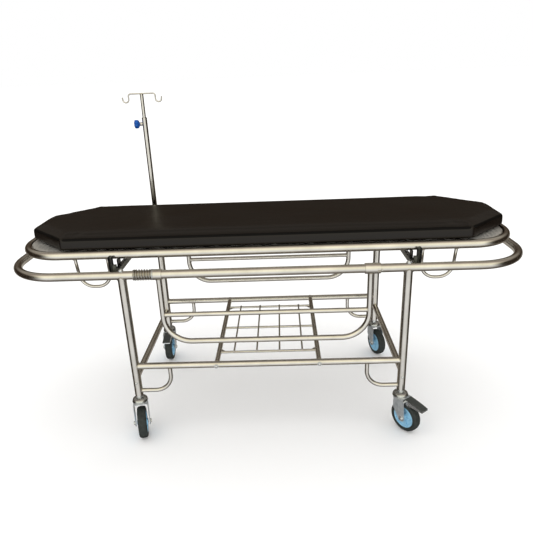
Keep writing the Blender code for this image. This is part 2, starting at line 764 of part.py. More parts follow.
def add_pole_socket(x, y):
    """The short tube welded on the bumper that holds the pole."""
    socket = cylinder("pole_socket", "stainless", SOCKET_R, (x, y, BUMPER_Z), (x, y, SOCKET_TOP_Z), sides=16)
    boolean(socket, bumper_cutter(1), "DIFFERENCE")
    low = (x, y, POLE_BOTTOM_Z - 2 * GAP)
    high = (x, y, SOCKET_TOP_Z + 0.01)
    boolean(socket, cylinder("socket_bore", "stainless", POLE_R + COPE, low, high, sides=16), "DIFFERENCE")


def add_pole_tube(x, y):
    """The outer tube, with a boss for the clamp screw."""
    ends = (0, 0, POLE_BOTTOM_Z), (0, 0, POLE_TOP_Z)
    tube = cylinder("pole_tube", "stainless", POLE_R, *ends, sides=16, origin=(0, 0, 0))
    boss = cylinder("boss", "stainless", 0.0075, (-0.019, 0, KNOB_Z), (0, 0, KNOB_Z), sides=12)
    boolean(tube, boss, "UNION")
    floor = POLE_BOTTOM_Z + 0.004
    bore = cylinder("pole_bore", "stainless", POLE_BORE_R, (0, 0, floor), (0, 0, POLE_TOP_Z + 0.01), sides=16)
    boolean(tube, bore, "DIFFERENCE")
    hole = cylinder("screw_hole", "stainless", SCREW_R + COPE, (-0.03, 0, KNOB_Z), (0, 0, KNOB_Z), sides=12)
    boolean(tube, hole, "DIFFERENCE")
    tube.location = (x, y, 0.0)


def add_pole_rod(x, y):
    """The inner rod with its two hooks, and the nylon bush at its foot."""
    step_r, bush_top = ROD_R - 0.002, ROD_BOTTOM_Z + 0.020
    ends = (0, 0, bush_top + GAP), (0, 0, HOOK_BAR_Z)
    stem = cylinder("pole_rod", "stainless", ROD_R, *ends, sides=12, origin=(0, 0, 0))
    spigot = cylinder("spigot", "stainless", step_r, (0, 0, ROD_BOTTOM_Z), (0, 0, bush_top + 0.01), sides=10)
    boolean(stem, spigot, "UNION")
    right = [(HOOK_BAR_HALF, 0.0)]
    right += arc((HOOK_BAR_HALF + HOOK_R, -0.022), HOOK_R, 180, 350, 7)
    right.append((HOOK_BAR_HALF + 2 * HOOK_R + 0.001, -0.013))
    path = [(-px, 0.0, HOOK_BAR_Z + pz) for px, pz in reversed(right)]
    path += [(px, 0.0, HOOK_BAR_Z + pz) for px, pz in right]
    hooks = to_mesh(rod("hooks", "stainless", HOOK_WIRE_R, path, resolution=1), "stainless")
    boolean(stem, hooks, "UNION")
    stem.location = (x, y, 0.0)
    half, bore = 0.010, step_r + 0.0003
    profile = [(0.0092, half), (0.0092, -half), (bore, -half), (bore, half)]
    bush = turned("pole_bush", "nylon", profile, steps=14, closed=True)
    bush.location = (x, y, ROD_BOTTOM_Z + half)


def add_pole_knob(x, y):
    """The lobed clamp knob on its screw, which points at the rod."""
    lobes, points = 7, []
    for i in range(lobes * 4):
        angle = 2 * math.pi * i / (lobes * 4)
        radius = KNOB_R - 0.0022 * (0.5 - 0.5 * math.cos(lobes * angle))
        points.append((radius * math.cos(angle), radius * math.sin(angle)))
    knob = to_mesh(plate("pole_knob", "knob_plastic", points, 0.018), "knob_plastic")
    bevel(knob, 0.0025, segments=1)
    tip = ROD_R + 2 * GAP + KNOB_X
    boss = cylinder("knob_boss", "knob_plastic", 0.0080, (0, 0, 0), (0, 0, 0.0145), sides=12)
    screw = cylinder("knob_screw", "knob_plastic", SCREW_R, (0, 0, 0), (0, 0, -tip), sides=10)
    for piece in (boss, screw):
        boolean(knob, piece, "UNION")
    knob.rotation_euler = (0.0, math.pi / 2, 0.0)
    knob.location = (x + KNOB_X, y, KNOB_Z)


def add_pole():
    x, y = -LEG_X, BUMPER_HALF_WIDTH
    add_pole_socket(x, y)
    add_pole_tube(x, y)
    add_pole_rod(x, y)
    add_pole_knob(x, y)


# ---------------------------------------------------------------- the whole cot


def main():
    global PARTS, CUTTERS
    clear_scene()
    PARTS = new_collection("ambulance_cot")
    CUTTERS = new_collection("cutters")
    CUTTERS.hide_render = True
    add_materials()
    add_bumper()
    for end, side in CORNERS:
        add_leg(end, side)
        add_brace(end, side)
        if (end, side) != ("front", "far"):
            add_leg_nut(end, side)
    add_lower_tubes()
    add_shelf()
    for end in ENDS:
        add_cross_beam(end)
    for side in SIDES:
        add_rail_set(side)
    add_stretcher_loop()
    add_bed_panel()
    add_mattress()
    for name, (end, side, degrees, braked) in CASTERS.items():
        add_caster(name, end, side, degrees, braked)
    add_pole()


main()
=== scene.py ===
"""Looks of the ambulance cot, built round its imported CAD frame. Metres, +Z up, in the row frame."""

import math

import bmesh
import bpy
import numpy as np
from mathutils import Matrix, Vector
from mathutils.bvhtree import BVHTree


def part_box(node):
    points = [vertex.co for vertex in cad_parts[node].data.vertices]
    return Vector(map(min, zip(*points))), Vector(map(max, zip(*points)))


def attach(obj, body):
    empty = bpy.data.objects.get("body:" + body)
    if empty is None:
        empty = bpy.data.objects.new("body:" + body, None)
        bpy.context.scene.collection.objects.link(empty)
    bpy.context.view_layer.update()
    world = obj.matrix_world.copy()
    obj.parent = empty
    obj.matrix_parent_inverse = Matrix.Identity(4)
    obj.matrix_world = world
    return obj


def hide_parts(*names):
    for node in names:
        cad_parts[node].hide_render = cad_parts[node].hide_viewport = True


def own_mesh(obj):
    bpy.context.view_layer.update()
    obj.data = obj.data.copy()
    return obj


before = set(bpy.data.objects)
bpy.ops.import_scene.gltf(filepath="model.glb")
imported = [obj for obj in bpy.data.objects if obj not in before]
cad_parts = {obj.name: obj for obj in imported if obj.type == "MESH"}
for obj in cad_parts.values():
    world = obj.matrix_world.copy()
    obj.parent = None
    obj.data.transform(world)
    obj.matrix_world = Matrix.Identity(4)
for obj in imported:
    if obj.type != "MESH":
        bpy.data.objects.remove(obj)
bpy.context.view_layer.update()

ENDS = {"front": -1, "rear": 1}
SIDES = {"near": -1, "far": 1}
CORNERS = [(end, side) for end in ENDS for side in SIDES]
X, Y, Z = Vector((1, 0, 0)), Vector((0, 1, 0)), Vector((0, 0, 1))

# Sizes that the CAD solids share. Places come from the solids' boxes.
TUBE_R = 0.016
BUMPER_CORNER_R = 0.198
STRETCHER_CORNER_R = 0.168
LOWER_TUBE_R = 0.0125
BRACE_R = 0.008
BRACE_BEND_R = 0.065
SHELF_TUBE_R = 0.0095
SHELF_BAR_R = 0.005
SHELF_WIRE_R = 0.0035
SHELF_WIRE_X = (0.0457, 0.137)
SHELF_BAR_Y = 0.212
RAIL_R = 0.0105
RAIL_MID_R = 0.0090
RAIL_MID_DROP = 0.1625
RAIL_BEND_R = 0.100
SLEEVE_R = 0.0197
SLEEVE_BORE = 0.0165
SPRING_SLEEVE = (-0.4000, -0.3690)
LOCK_SLEEVE = (0.3620, 0.4170)
NOTCH_DEPTH = 0.012
SPRING_R = 0.0189
SPRING_WIRE_R = 0.0018
SPRING_TURNS = 6
FOOT_R = 0.006
FOOT_HALF_WIDTH = 0.0570
FOOT_SPREAD = (0.003, 0.010)
FOOT_X = 0.632
PANEL_THICK = 0.0012
MATTRESS_CHAMFER = (0.171, 0.164)
MATTRESS_INSET = 0.0015
MATTRESS_RISE = 0.0160
TAPE_HALF = 0.0054
TAPE_THICK = 0.0014
TAPE_BEND_R = 0.011
WHEEL_R = 0.0625
TRAIL = 0.032
TYRE_INNER_R = 0.0445
TYRE_WIDTH = 0.034
HUB_WIDTH = 0.042
FORK_WIDTH = 0.058
FORK_PLATE = 0.003
CROWN_Z = 0.144
CASTER_ANGLES = {"front_near": -76.0, "rear_near": -52.0, "rear_far": -69.0, "front_far": -88.0}
BRAKED = ("rear_near", "front_far")
PEDAL_HINGE = (0.0350, 0.0, 0.1345)
SOCKET_R = 0.0145
POLE_R = 0.011
POLE_BORE_R = 0.0095
ROD_R = 0.0075
HOOK_BAR_HALF = 0.058
HOOK_WIRE_R = 0.003
HOOK_R = 0.013
KNOB_R = 0.0185

# Places, from the CAD boxes
bumper_low, bumper_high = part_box("bumper_loop")
BUMPER_Z = (bumper_low.z + bumper_high.z) / 2
BUMPER_HALF_LENGTH = bumper_high.x - TUBE_R
BUMPER_HALF_WIDTH = bumper_high.y - TUBE_R
leg_low, leg_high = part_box("leg_rear_far")
LEG_X = (leg_low.x + leg_high.x) / 2
LEG_BOTTOM_Z = leg_low.z
SIDE_TUBE_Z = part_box("lower_side_tube_far")[0].z + LOWER_TUBE_R
END_TUBE_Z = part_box("lower_end_tube_rear")[0].z + LOWER_TUBE_R
SHELF_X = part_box("shelf_rack")[1].x - SHELF_TUBE_R
BRACE_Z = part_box("brace_rear_far")[0].z + BRACE_R
BRACE_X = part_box("brace_rear_far")[0].x + BRACE_R
rail_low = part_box("guard_rail_near")[0]
RAIL_BOTTOM_Z = rail_low.z + RAIL_R
RAIL_X = 0.383
loop_low, loop_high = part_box("stretcher_loop")
STRETCHER_Z = loop_high.z - TUBE_R
STRETCHER_HALF_LENGTH = loop_high.x - TUBE_R
STRETCHER_HALF_WIDTH = loop_high.y - TUBE_R
FOOT_BOTTOM_Z = loop_low.z + FOOT_R


# ---------------------------------------------------------------- materials


class Nodes:
    """Adds shader nodes to a tree, with their inputs fed in order or by name."""

    def __init__(self, tree):
        self.tree = tree

    def add(self, kind, *values, **inputs):
        node = self.tree.nodes.new(kind)
        for key, value in [*enumerate(values), *inputs.items()]:
            self.feed(node.inputs[key], value)
        return node

    def feed(self, socket, value):
        if isinstance(value, bpy.types.NodeSocket):
            self.tree.links.new(value, socket)
        else:
            socket.default_value = value

    def span(self, value, low, high, a=0.0, b=1.0, smooth=False):
        """Maps low..high of a value to a..b, and holds it there."""
        node = self.add("ShaderNodeMapRange", value, low, high, a, b)
        if smooth:
            node.interpolation_type = "SMOOTHSTEP"
        return node.outputs["Result"]

    def math(self, operation, a, b=0.0):
        node = self.add("ShaderNodeMath", a, b)
        node.operation = operation
        return node.outputs[0]

    def blend(self, share, a, b):
        node = self.add("ShaderNodeMix")
        node.data_type = "RGBA"
        self.feed(node.inputs["Factor"], share)
        for socket, value in zip([s for s in node.inputs if s.type == "RGBA"], (a, b)):
            self.feed(socket, value if isinstance(value, bpy.types.NodeSocket) else (*value, 1.0))
        return next(s for s in node.outputs if s.type == "RGBA")


class Finish(Nodes):
    """A Principled material whose nodes read the "run" attribute: metres round, round and along each piece."""

    def __init__(self, name, **sockets):
        self.made = bpy.data.materials.new(name)
        self.made.use_nodes = True
        super().__init__(self.made.node_tree)
        self.shader = self.tree.nodes["Principled BSDF"]
        for key, value in sockets.items():
            self.shader.inputs[key.replace("_", " ")].default_value = value
        place = self.add("ShaderNodeAttribute")
        place.attribute_name = "run"
        self.place = place.outputs["Vector"]

    def noise(self, scale, detail=2.0, stretch=(1, 1, 1), roughness=0.5, distortion=0.0):
        scaled = self.add("ShaderNodeMapping", Vector=self.place, Scale=stretch)
        node = self.add(
            "ShaderNodeTexNoise",
            Vector=scaled.outputs[0],
            Scale=scale,
            Detail=detail,
            Roughness=roughness,
            Distortion=distortion,
        )
        return node.outputs["Fac"]

    def cells(self, scale, stretch=(1, 1, 1), feature="F1", smoothness=None):
        scaled = self.add("ShaderNodeMapping", Vector=self.place, Scale=stretch)
        node = self.add("ShaderNodeTexVoronoi", Vector=scaled.outputs[0], Scale=scale)
        node.feature = feature
        if smoothness is not None:
            node.inputs["Smoothness"].default_value = smoothness
        return node.outputs["Distance"]

    def bump(self, height, distance, strength=1.0, under=None):
        node = self.add("ShaderNodeBump", Height=height, Distance=distance, Strength=strength)
        if under is not None:
            self.feed(node.inputs["Normal"], under)
        return node.outputs["Normal"]

    def done(self, colour=None, roughness=None, normal=None):
        for key, value in (("Base Color", colour), ("Roughness", roughness), ("Normal", normal)):
            if value is not None:
                self.feed(self.shader.inputs[key], value)
        return self.made


def steel(name, bright, dull, roughness, lines=1.0, stain=(0.30, 0.24, 0.17), stain_share=0.0, metallic=1.0):
    """Polished tube: lines round it from the polishing wheel, smudges and a few long scratches."""
    f = Finish(name, Metallic=metallic)
    cloud = f.noise(7.0, 4.0, roughness=0.6)
    smudge = f.noise(34.0, 3.0, (1, 1, 0.35))
    polish = f.noise(1.0, 3.0, (90, 90, 2600))
    scratch = f.span(f.noise(1.0, 1.0, (700, 700, 16)), 0.70, 0.76)
    colour = f.blend(f.span(cloud, 0.35, 0.70), bright, dull)
    colour = f.blend(f.math("MULTIPLY", scratch, 0.35), colour, dull)
    if stain_share:
        colour = f.blend(f.span(smudge, 0.50, 0.75, 0.0, stain_share), colour, stain)
    low, high = roughness
    rough = f.span(smudge, 0.35, 0.72, low, high)
    rough = f.math("ADD", rough, f.span(polish, 0.3, 0.7, -0.02, 0.03))
    rough = f.math("ADD", rough, f.math("MULTIPLY", scratch, 0.08))
    normal = f.bump(polish, 0.00003, 0.5 * lines)
    normal = f.bump(cloud, 0.0004, 0.25, normal)
    return f.done(colour, rough, normal)


def zinc(name, bright, dull, roughness=(0.34, 0.52), metallic=0.55):
    """Plated pressed steel: a soft mottle, with duller rubbed patches."""
    f = Finish(name, Metallic=metallic)
    mottle = f.cells(420.0)
    cloud = f.noise(60.0, 4.0, roughness=0.65)
    rub = f.noise(210.0, 3.0)
    colour = f.blend(f.span(cloud, 0.35, 0.70), bright, dull)
    colour = f.blend(f.span(mottle, 0.0, 0.8, 0.0, 0.25), colour, dull)
    rough = f.span(rub, 0.3, 0.7, *roughness)
    normal = f.bump(cloud, 0.0003, 0.35)
    return f.done(colour, rough, f.bump(mottle, 0.00008, 0.4, normal))


def paint(name, colour, worn, roughness, grain=0.5):
    """Sprayed paint: orange peel, dust in it and a few rubbed spots."""
    f = Finish(name, Metallic=0.0, IOR=1.4)
    peel = f.noise(520.0, 2.0)
    cloud = f.noise(26.0, 4.0, roughness=0.6)
    rub = f.span(f.noise(90.0, 5.0, roughness=0.7), 0.62, 0.72)
    shade = f.blend(f.span(cloud, 0.3, 0.7), colour, [c * 1.5 + 0.004 for c in colour])
    shade = f.blend(f.math("MULTIPLY", rub, 0.5), shade, worn)
    rough = f.span(cloud, 0.3, 0.7, *roughness)
    return f.done(shade, rough, f.bump(peel, 0.00015, grain))


def vinyl(name, colour, lighter):
    """Coated cloth: fine pebbled grain over slow unevenness, glossier where it is handled."""
    f = Finish(name, Metallic=0.0, IOR=1.36)
    pebble = f.cells(720.0, feature="SMOOTH_F1", smoothness=0.6)
    fine = f.noise(1500.0, 2.0)
    slow = f.noise(6.0, 4.0, roughness=0.55)
    crease = f.noise(22.0, 3.0, (0.5, 1.6, 1.0), distortion=0.6)
    shade = f.blend(f.span(slow, 0.35, 0.68), colour, lighter)
    shade = f.blend(f.span(pebble, 0.10, 0.55, 0.0, 0.35), shade, lighter)
    rough = f.span(slow, 0.35, 0.70, 0.32, 0.42)
    rough = f.math("ADD", rough, f.span(fine, 0.3, 0.7, -0.03, 0.03))
    normal = f.bump(crease, 0.0022, 0.25)
    normal = f.bump(pebble, 0.00020, 0.55, normal)
    return f.done(shade, rough, f.bump(fine, 0.00005, 0.5, normal))


def moulded(name, colour, deep, roughness, grain=0.35, scale=900.0, **sockets):
    """Moulded plastic or rubber: fine surface grain, flow marks and dust."""
    f = Finish(name, Metallic=0.0, **sockets)
    flow = f.noise(28.0, 4.0, roughness=0.6, distortion=0.5)
    fine = f.noise(scale, 2.0)
    shade = f.blend(f.span(flow, 0.35, 0.70), colour, deep)
    rough = f.span(flow, 0.3, 0.7, *roughness)
    normal = f.bump(flow, 0.0004, 0.2)
    return f.done(shade, rough, f.bump(fine, 0.00008, grain, normal))


def rubber(name):
    """Tyre rubber: dull, with a scuffed and dusty tread. Its run goes round the wheel, then across it."""
    f = Finish(name, Metallic=0.0, Specular_IOR_Level=0.35)
    dust = f.noise(75.0, 5.0, roughness=0.7)
    fine = f.noise(1300.0, 2.0)
    scuff = f.noise(1.0, 3.0, (160, 160, 900))
    shade = f.blend(f.span(dust, 0.38, 0.72), (0.015, 0.020, 0.019), (0.038, 0.046, 0.043))
    shade = f.blend(f.span(scuff, 0.55, 0.75, 0.0, 0.4), shade, (0.060, 0.070, 0.064))
    rough = f.span(dust, 0.3, 0.7, 0.50, 0.72)
    normal = f.bump(scuff, 0.0002, 0.35)
    return f.done(shade, rough, f.bump(fine, 0.0001, 0.5, normal))


STAINLESS = steel("stainless_tube", (0.68, 0.66, 0.62), (0.54, 0.52, 0.48), (0.13, 0.24))
STAINLESS_SHEET = steel("stainless_sheet", (0.66, 0.64, 0.59), (0.50, 0.48, 0.44), (0.30, 0.42), 1.4, metallic=0.6)
WELD = steel("weld_bead", (0.52, 0.49, 0.44), (0.34, 0.30, 0.25), (0.26, 0.42), 1.0, stain_share=0.5)
SPRING_STEEL = steel("spring_wire", (0.58, 0.57, 0.54), (0.36, 0.35, 0.33), (0.16, 0.30))
ZINC = zinc("zinc_plate", (0.58, 0.61, 0.63), (0.38, 0.41, 0.43))
RACE_ZINC = zinc("zinc_race", (0.60, 0.62, 0.63), (0.38, 0.40, 0.41), (0.18, 0.32), 1.0)
BRIGHT_ZINC = zinc("zinc_bolt", (0.80, 0.82, 0.83), (0.56, 0.58, 0.59), (0.14, 0.28), 0.85)
BLACK = paint("black_frame_paint", (0.004, 0.004, 0.004), (0.040, 0.038, 0.034), (0.24, 0.38))
BEAM_PAINT = paint("beam_paint", (0.055, 0.056, 0.044), (0.130, 0.122, 0.100), (0.34, 0.48))
PEDAL = paint("pedal_coating", (0.040, 0.043, 0.040), (0.110, 0.112, 0.106), (0.42, 0.58), 0.9)
VINYL = vinyl("mattress_vinyl", (0.0042, 0.0023, 0.0013), (0.0066, 0.0041, 0.0026))
# Near-black tape colours, with low specular below: painted shade of the crease along the pad's top edge.
TAPE_SHADE_COLOURS = (0.0014, 0.0011, 0.0009), (0.0030, 0.0024, 0.0020)
SHADE_BINDING = moulded("binding_tape_painted_shade", *TAPE_SHADE_COLOURS, (0.62, 0.75), 0.8, Specular_IOR_Level=0.12)
RUBBER = rubber("tyre_rubber_look")
HUB = moulded("hub_blue", (0.300, 0.560, 0.740), (0.230, 0.470, 0.650), (0.28, 0.42))
DUST_CAP = moulded("bearing_cap", (0.62, 0.64, 0.64), (0.50, 0.52, 0.52), (0.35, 0.5))
NYLON = moulded("nylon_natural", (0.75, 0.74, 0.70), (0.64, 0.63, 0.58), (0.38, 0.50))
KNOB = moulded("knob_blue", (0.003, 0.090, 0.400), (0.002, 0.055, 0.270), (0.22, 0.34), 0.25, IOR=1.35)
# Darker steel for the band on the bumper inside the spring: painted shade between the coils, not grease.
SPRING_GAP_SHADE = steel("painted_spring_shade", (0.36, 0.33, 0.28), (0.16, 0.14, 0.11), (0.18, 0.34))


# ---------------------------------------------------------------- shapes


def ring_faces(rings, sides, closed=False, flip=False):
    """Quads from each ring of points to the next, and from the last to the first if closed."""
    faces = []
    for i in range(rings if closed else rings - 1):
        for j in range(sides):
            k, n = (j + 1) % sides, (i + 1) % rings
            a, b, c, d = i * sides + j, i * sides + k, n * sides + k, n * sides + j
            faces.append((a, d, c, b) if flip else (a, b, c, d))
    return faces


def end_faces(rings, sides):
    last = (rings - 1) * sides
    return [tuple(reversed(range(sides))), tuple(range(last, last + sides))]


def shell_faces(nu, nv, flip=False):
    """A thin sheet: two layers of nu by nv points, and the strip round their edge."""
    under, faces, rim = nu * nv, [], []
    for i in range(nu - 1):
        for j in range(nv - 1):
            a = i * nv + j
            quad = (a, a + nv, a + nv + 1, a + 1) if flip else (a, a + 1, a + nv + 1, a + nv)
            faces += [quad, tuple(q + under for q in reversed(quad))]
        near, far = i * nv, i * nv + nv - 1
        rim += [(near, near + nv), (far + nv, far)]
    for j in range(nv - 1):
        last = (nu - 1) * nv + j
        rim += [(j + 1, j), (last, last + 1)]
    for a, b in rim:
        faces.append((b, a, a + under, b + under) if flip else (b, b + under, a + under, a))
    return faces


class Shape:
    """Gathers closed surfaces into one mesh, with the run of each face corner."""

    def __init__(self):
        self.verts, self.faces, self.run = [], [], []

    def add(self, verts, faces, run=None, move=None):
        verts = np.asarray(verts, float)
        if run is None:
            run = [verts[i] for face in faces for i in face]
        if move is not None:
            m = np.array(move)
            verts = verts @ m[:3, :3].T + m[:3, 3]
        first = len(self.verts)
        self.verts += [tuple(v) for v in verts]
        self.faces += [tuple(first + i for i in face) for face in faces]
        self.run += [tuple(r) for r in run]
        return self

    def piece(self, name, finish, body, replaces=(), slot=None, angle=38, bevel=None, segments=2):
        mesh = bpy.data.meshes.new(name)
        mesh.from_pydata(self.verts, [], self.faces)
        mesh.attributes.new("run", "FLOAT_VECTOR", "CORNER")
        mesh.attributes["run"].data.foreach_set("vector", np.array(self.run, np.float32).ravel())
        clean = bmesh.new()
        clean.from_mesh(mesh)
        bmesh.ops.remove_doubles(clean, verts=clean.verts, dist=0.000002)
        clean.to_mesh(mesh)
        clean.free()
        mesh.materials.append(finish)
        mesh.polygons.foreach_set("use_smooth", [True] * len(mesh.polygons))
        mesh.set_sharp_from_angle(angle=math.radians(angle))
        obj = bpy.data.objects.new(name, mesh)
        bpy.context.scene.collection.objects.link(obj)
        if bevel:
            step = obj.modifiers.new("Bevel", "BEVEL")
            step.width, step.segments = bevel, segments
            step.limit_method, step.angle_limit = "ANGLE", math.radians(angle)
            step.harden_normals = True
        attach(obj, body)
        if replaces:
            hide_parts(*replaces)
        return obj

    def sweep(self, points, radius, sides=28, closed=False, chamfer=0.0):
        """A round bar along a path. A chamfer narrows both of its ends."""
        points = [Vector(p) for p in points]
        radii = list(radius) if hasattr(radius, "__len__") else [radius] * len(points)
        if chamfer and not closed:
            for end, inner in ((0, 1), (-1, -2)):
                step = (points[inner] - points[end]).normalized() * chamfer
                points.insert(1 if end == 0 else -1, points[end] + step)
                radii.insert(1 if end == 0 else -1, radii[end])
                radii[end] -= chamfer
        path, radii = np.array(points), np.array(radii)
        ahead, behind = np.roll(path, -1, 0), np.roll(path, 1, 0)
        if not closed:
            ahead[-1], behind[0] = path[-1], path[0]
        tangent = ahead - behind
        tangent /= np.linalg.norm(tangent, axis=1)[:, None]
        guide = (0, 0, 1) if abs(tangent[0][2]) < 0.9 else (1, 0, 0)
        side = np.cross(tangent[0], guide)
        sides_of = []
        for t in tangent:
            side = side - t * (side @ t)
            side /= np.linalg.norm(side)
            sides_of.append(side)
        side = np.array(sides_of)
        up = np.cross(tangent, side)
        turn = 2 * math.pi * np.arange(sides) / sides
        c, s = np.cos(turn)[:, None], np.sin(turn)[:, None]
        rings = path[:, None] + radii[:, None, None] * (c * side[:, None] + s * up[:, None])
        count = len(path)
        length = np.concatenate(([0.0], np.cumsum(np.linalg.norm(ahead - path, axis=1))))
        faces, run = ring_faces(count, sides, closed), []
        for i in range(count if closed else count - 1):
            for j in range(sides):
                k = (j + 1) % sides
                for row, spot in ((i, j), (i, k), (i + 1, k), (i + 1, j)):
                    r = radii[row % count]
                    run.append((r * c[spot][0], r * s[spot][0], length[row]))
        verts = rings.reshape(-1, 3)
        if not closed:
            for cap in end_faces(count, sides):
                faces.append(cap)
                run += [tuple(verts[i]) for i in cap]
        return self.add(verts, faces, run)

    def bar(self, start, end, radius, sides=28, chamfer=0.0):
        return self.sweep([start, end], radius, sides, chamfer=chamfer)

    def lathe(self, profile, steps=36, closed=False, move=None):
        """Turned about Z from (radius, height) points down the outer side. A third value 6 makes that ring a
        hexagon, with the radius to its flats."""
        verts = []
        for row in profile:
            for j in range(steps):
                turn = 2 * math.pi * j / steps
                r = row[0]
                if len(row) == 3:
                    r /= math.cos(turn % (math.pi / 3) - math.pi / 6)
                verts.append((r * math.cos(turn), r * math.sin(turn), row[1]))
        return self.add(verts, ring_faces(len(profile), steps, closed, flip=True), None, move)

    def slab(self, outline, low, high, move=None):
        """A flat plate from an outline that runs anticlockwise, between two heights."""
        n = len(outline)
        verts = [(x, y, z) for z in (low, high) for x, y in outline]
        faces = [tuple(reversed(range(n))), tuple(range(n, 2 * n))]
        faces += [(i, (i + 1) % n, n + (i + 1) % n, n + i) for i in range(n)]
        return self.add(verts, faces, None, move)

    def box(self, low, high, move=None):
        (x0, y0, z0), (x1, y1, z1) = low, high
        return self.slab([(x0, y0), (x1, y0), (x1, y1), (x0, y1)], z0, z1, move)

    def weld(self, centre, out, along, small, big=None, bead=0.0022):
        """The rippled bead where a bar leaves a tube of radius big, or a flat face, at centre."""
        out, along = Vector(out).normalized(), Vector(along).normalized()
        across = out.cross(along)
        count = 72
        path, radii = [], []
        for i in range(count):
            turn = 2 * math.pi * i / count
            a, b = small * math.cos(turn), small * math.sin(turn)
            rise = math.sqrt(max(big**2 - b**2, 0.0)) if big else 0.0
            path.append(Vector(centre) + along * a + across * b + out * rise)
            radii.append(bead * (0.86 + 0.14 * math.cos(18 * turn) + 0.06 * math.sin(5 * turn + a * 90)))
        return self.sweep(path, radii, 8, closed=True)

    def nut(self, centre, out, flats, height, dome=True):
        """A domed nut, or a bolt head with a chamfer, standing on a surface."""
        half = flats / 2
        shoulder = height * (0.50 if dome else 0.80)
        profile = []
        if dome:
            dome_r, steps = half * 0.86, 5
            for i in range(steps):
                turn = math.pi / 2 * (1 - i / steps)
                rise = (height - shoulder) * math.sin(turn)
                profile.append((dome_r * math.cos(turn) if i else 0.0, shoulder + rise))
            profile.append((dome_r, shoulder))
        else:
            profile += [(0.0, height), (half * 0.80, height)]
        profile += [(half, shoulder * 0.97, 6), (half, height * 0.10, 6), (half * 0.95, 0.0), (0.0, 0.0)]
        return self.lathe(profile, 36, move=facing(centre, out))


def facing(centre, out):
    """Puts a shape's +Z along out, at centre."""
    return Matrix.Translation(Vector(centre)) @ Vector(out).to_track_quat("Z", "Y").to_matrix().to_4x4()


def arc(centre, radius, start, end, steps):
    """Points round an arc, with angles in degrees."""
    found = []
    for i in range(steps + 1):
        angle = math.radians(start + (end - start) * i / steps)
        found.append((centre[0] + radius * math.cos(angle), centre[1] + radius * math.sin(angle)))
    return found


def rounded_path(corners, radius, steps=14):
    """An open path through the corners, with each inner one rounded."""
    corners = [Vector(corner) for corner in corners]
    path = [corners[0]]
    for before, corner, after in zip(corners, corners[1:], corners[2:]):
        back, ahead = (before - corner).normalized(), (after - corner).normalized()
        half = back.angle(ahead) / 2
        centre = corner + (back + ahead).normalized() * radius / math.sin(half)
        start = corner + back * radius / math.tan(half) - centre
        end = corner + ahead * radius / math.tan(half) - centre
        axis, sweep = start.cross(end).normalized(), start.angle(end)
        for i in range(steps + 1):
            path.append(centre + Matrix.Rotation(sweep * i / steps, 3, axis) @ start)
    path.append(corners[-1])
    return path


def rounded_rectangle(half_length, half_width, radius, steps=22):
    found = []
    for sx, sy, start in ((1, 1, 0), (-1, 1, 90), (-1, -1, 180), (1, -1, 270)):
        centre = (sx * (half_length - radius), sy * (half_width - radius))
        found += arc(centre, radius, start, start + 90, steps)
    return found


# ---------------------------------------------------------------- trolley


def add_bumper():
    outline = rounded_rectangle(BUMPER_HALF_LENGTH, BUMPER_HALF_WIDTH, BUMPER_CORNER_R)
    points = [(x, y, BUMPER_Z) for x, y in outline]
    loop = Shape().sweep(points, TUBE_R, 40, closed=True)
    loop.piece("bumper_tube", STAINLESS, "trolley", ["bumper_loop"], "stainless")


def add_legs():
    """Legs with the cross bolt through each foot, and the domed nut over each but the front far one."""
    for end, side in CORNERS:
        name = f"{end}_{side}"
        x, y, out = ENDS[end] * LEG_X, SIDES[side] * BUMPER_HALF_WIDTH, SIDES[side]
        leg = Shape().bar((x, y, LEG_BOTTOM_Z), (x, y, BUMPER_Z - 0.004), TUBE_R, 40, chamfer=0.0006)
        leg.piece(f"leg_tube_{name}", STAINLESS, "trolley", [f"leg_{name}"], "stainless")
        bolt = Shape().nut((x, y + out * (TUBE_R - 0.0004), LEG_BOTTOM_Z + 0.061), (0, out, 0), 0.0095, 0.0052)
        bolt.nut((x, y - out * (TUBE_R - 0.0004), LEG_BOTTOM_Z + 0.061), (0, -out, 0), 0.0095, 0.0040, False)
        bolt.piece(f"leg_bolt_{name}", BRIGHT_ZINC, "trolley", slot="zinc")
        if name != "front_far":
            nut = Shape().nut((x, y, BUMPER_Z + TUBE_R - 0.0006), Z, 0.0165, 0.0102)
            nut.piece(f"dome_nut_{name}", BRIGHT_ZINC, "trolley", [f"leg_nut_{name}"], "stainless")


def add_lower_frame():
    """Side and end tubes, with the bent braces at each foot."""
    for side, sign in SIDES.items():
        y = sign * BUMPER_HALF_WIDTH
        tube = Shape().bar((-LEG_X + 0.01, y, SIDE_TUBE_Z), (LEG_X - 0.01, y, SIDE_TUBE_Z), LOWER_TUBE_R, 36)
        tube.piece(f"side_tube_{side}", STAINLESS, "trolley", [f"lower_side_tube_{side}"], "stainless")
        nuts = Shape()
        for x in (-SHELF_X, SHELF_X):
            nuts.nut((x, y + sign * (LOWER_TUBE_R - 0.0005), SIDE_TUBE_Z), (0, sign, 0), 0.0145, 0.0105)
        nuts.piece(f"shelf_nuts_{side}", BRIGHT_ZINC, "trolley", slot="zinc")
    for end, sign in ENDS.items():
        x, y = sign * LEG_X, BUMPER_HALF_WIDTH - 0.01
        tube = Shape().bar((x, -y, END_TUBE_Z), (x, y, END_TUBE_Z), LOWER_TUBE_R, 36)
        tube.piece(f"end_tube_{end}", STAINLESS, "trolley", [f"lower_end_tube_{end}"], "stainless")
    for end, side in CORNERS:
        sign, y = ENDS[end], SIDES[side] * BUMPER_HALF_WIDTH
        start = (sign * (LEG_X - 0.01), y, BRACE_Z)
        corner = (sign * BRACE_X, y, BRACE_Z)
        path = rounded_path((start, corner, (sign * BRACE_X, y, SIDE_TUBE_Z - 0.006)), BRACE_BEND_R)
        brace = Shape().sweep(path, BRACE_R, 24)
        brace.piece(f"brace_rod_{end}_{side}", STAINLESS, "trolley", [f"brace_{end}_{side}"], "stainless")


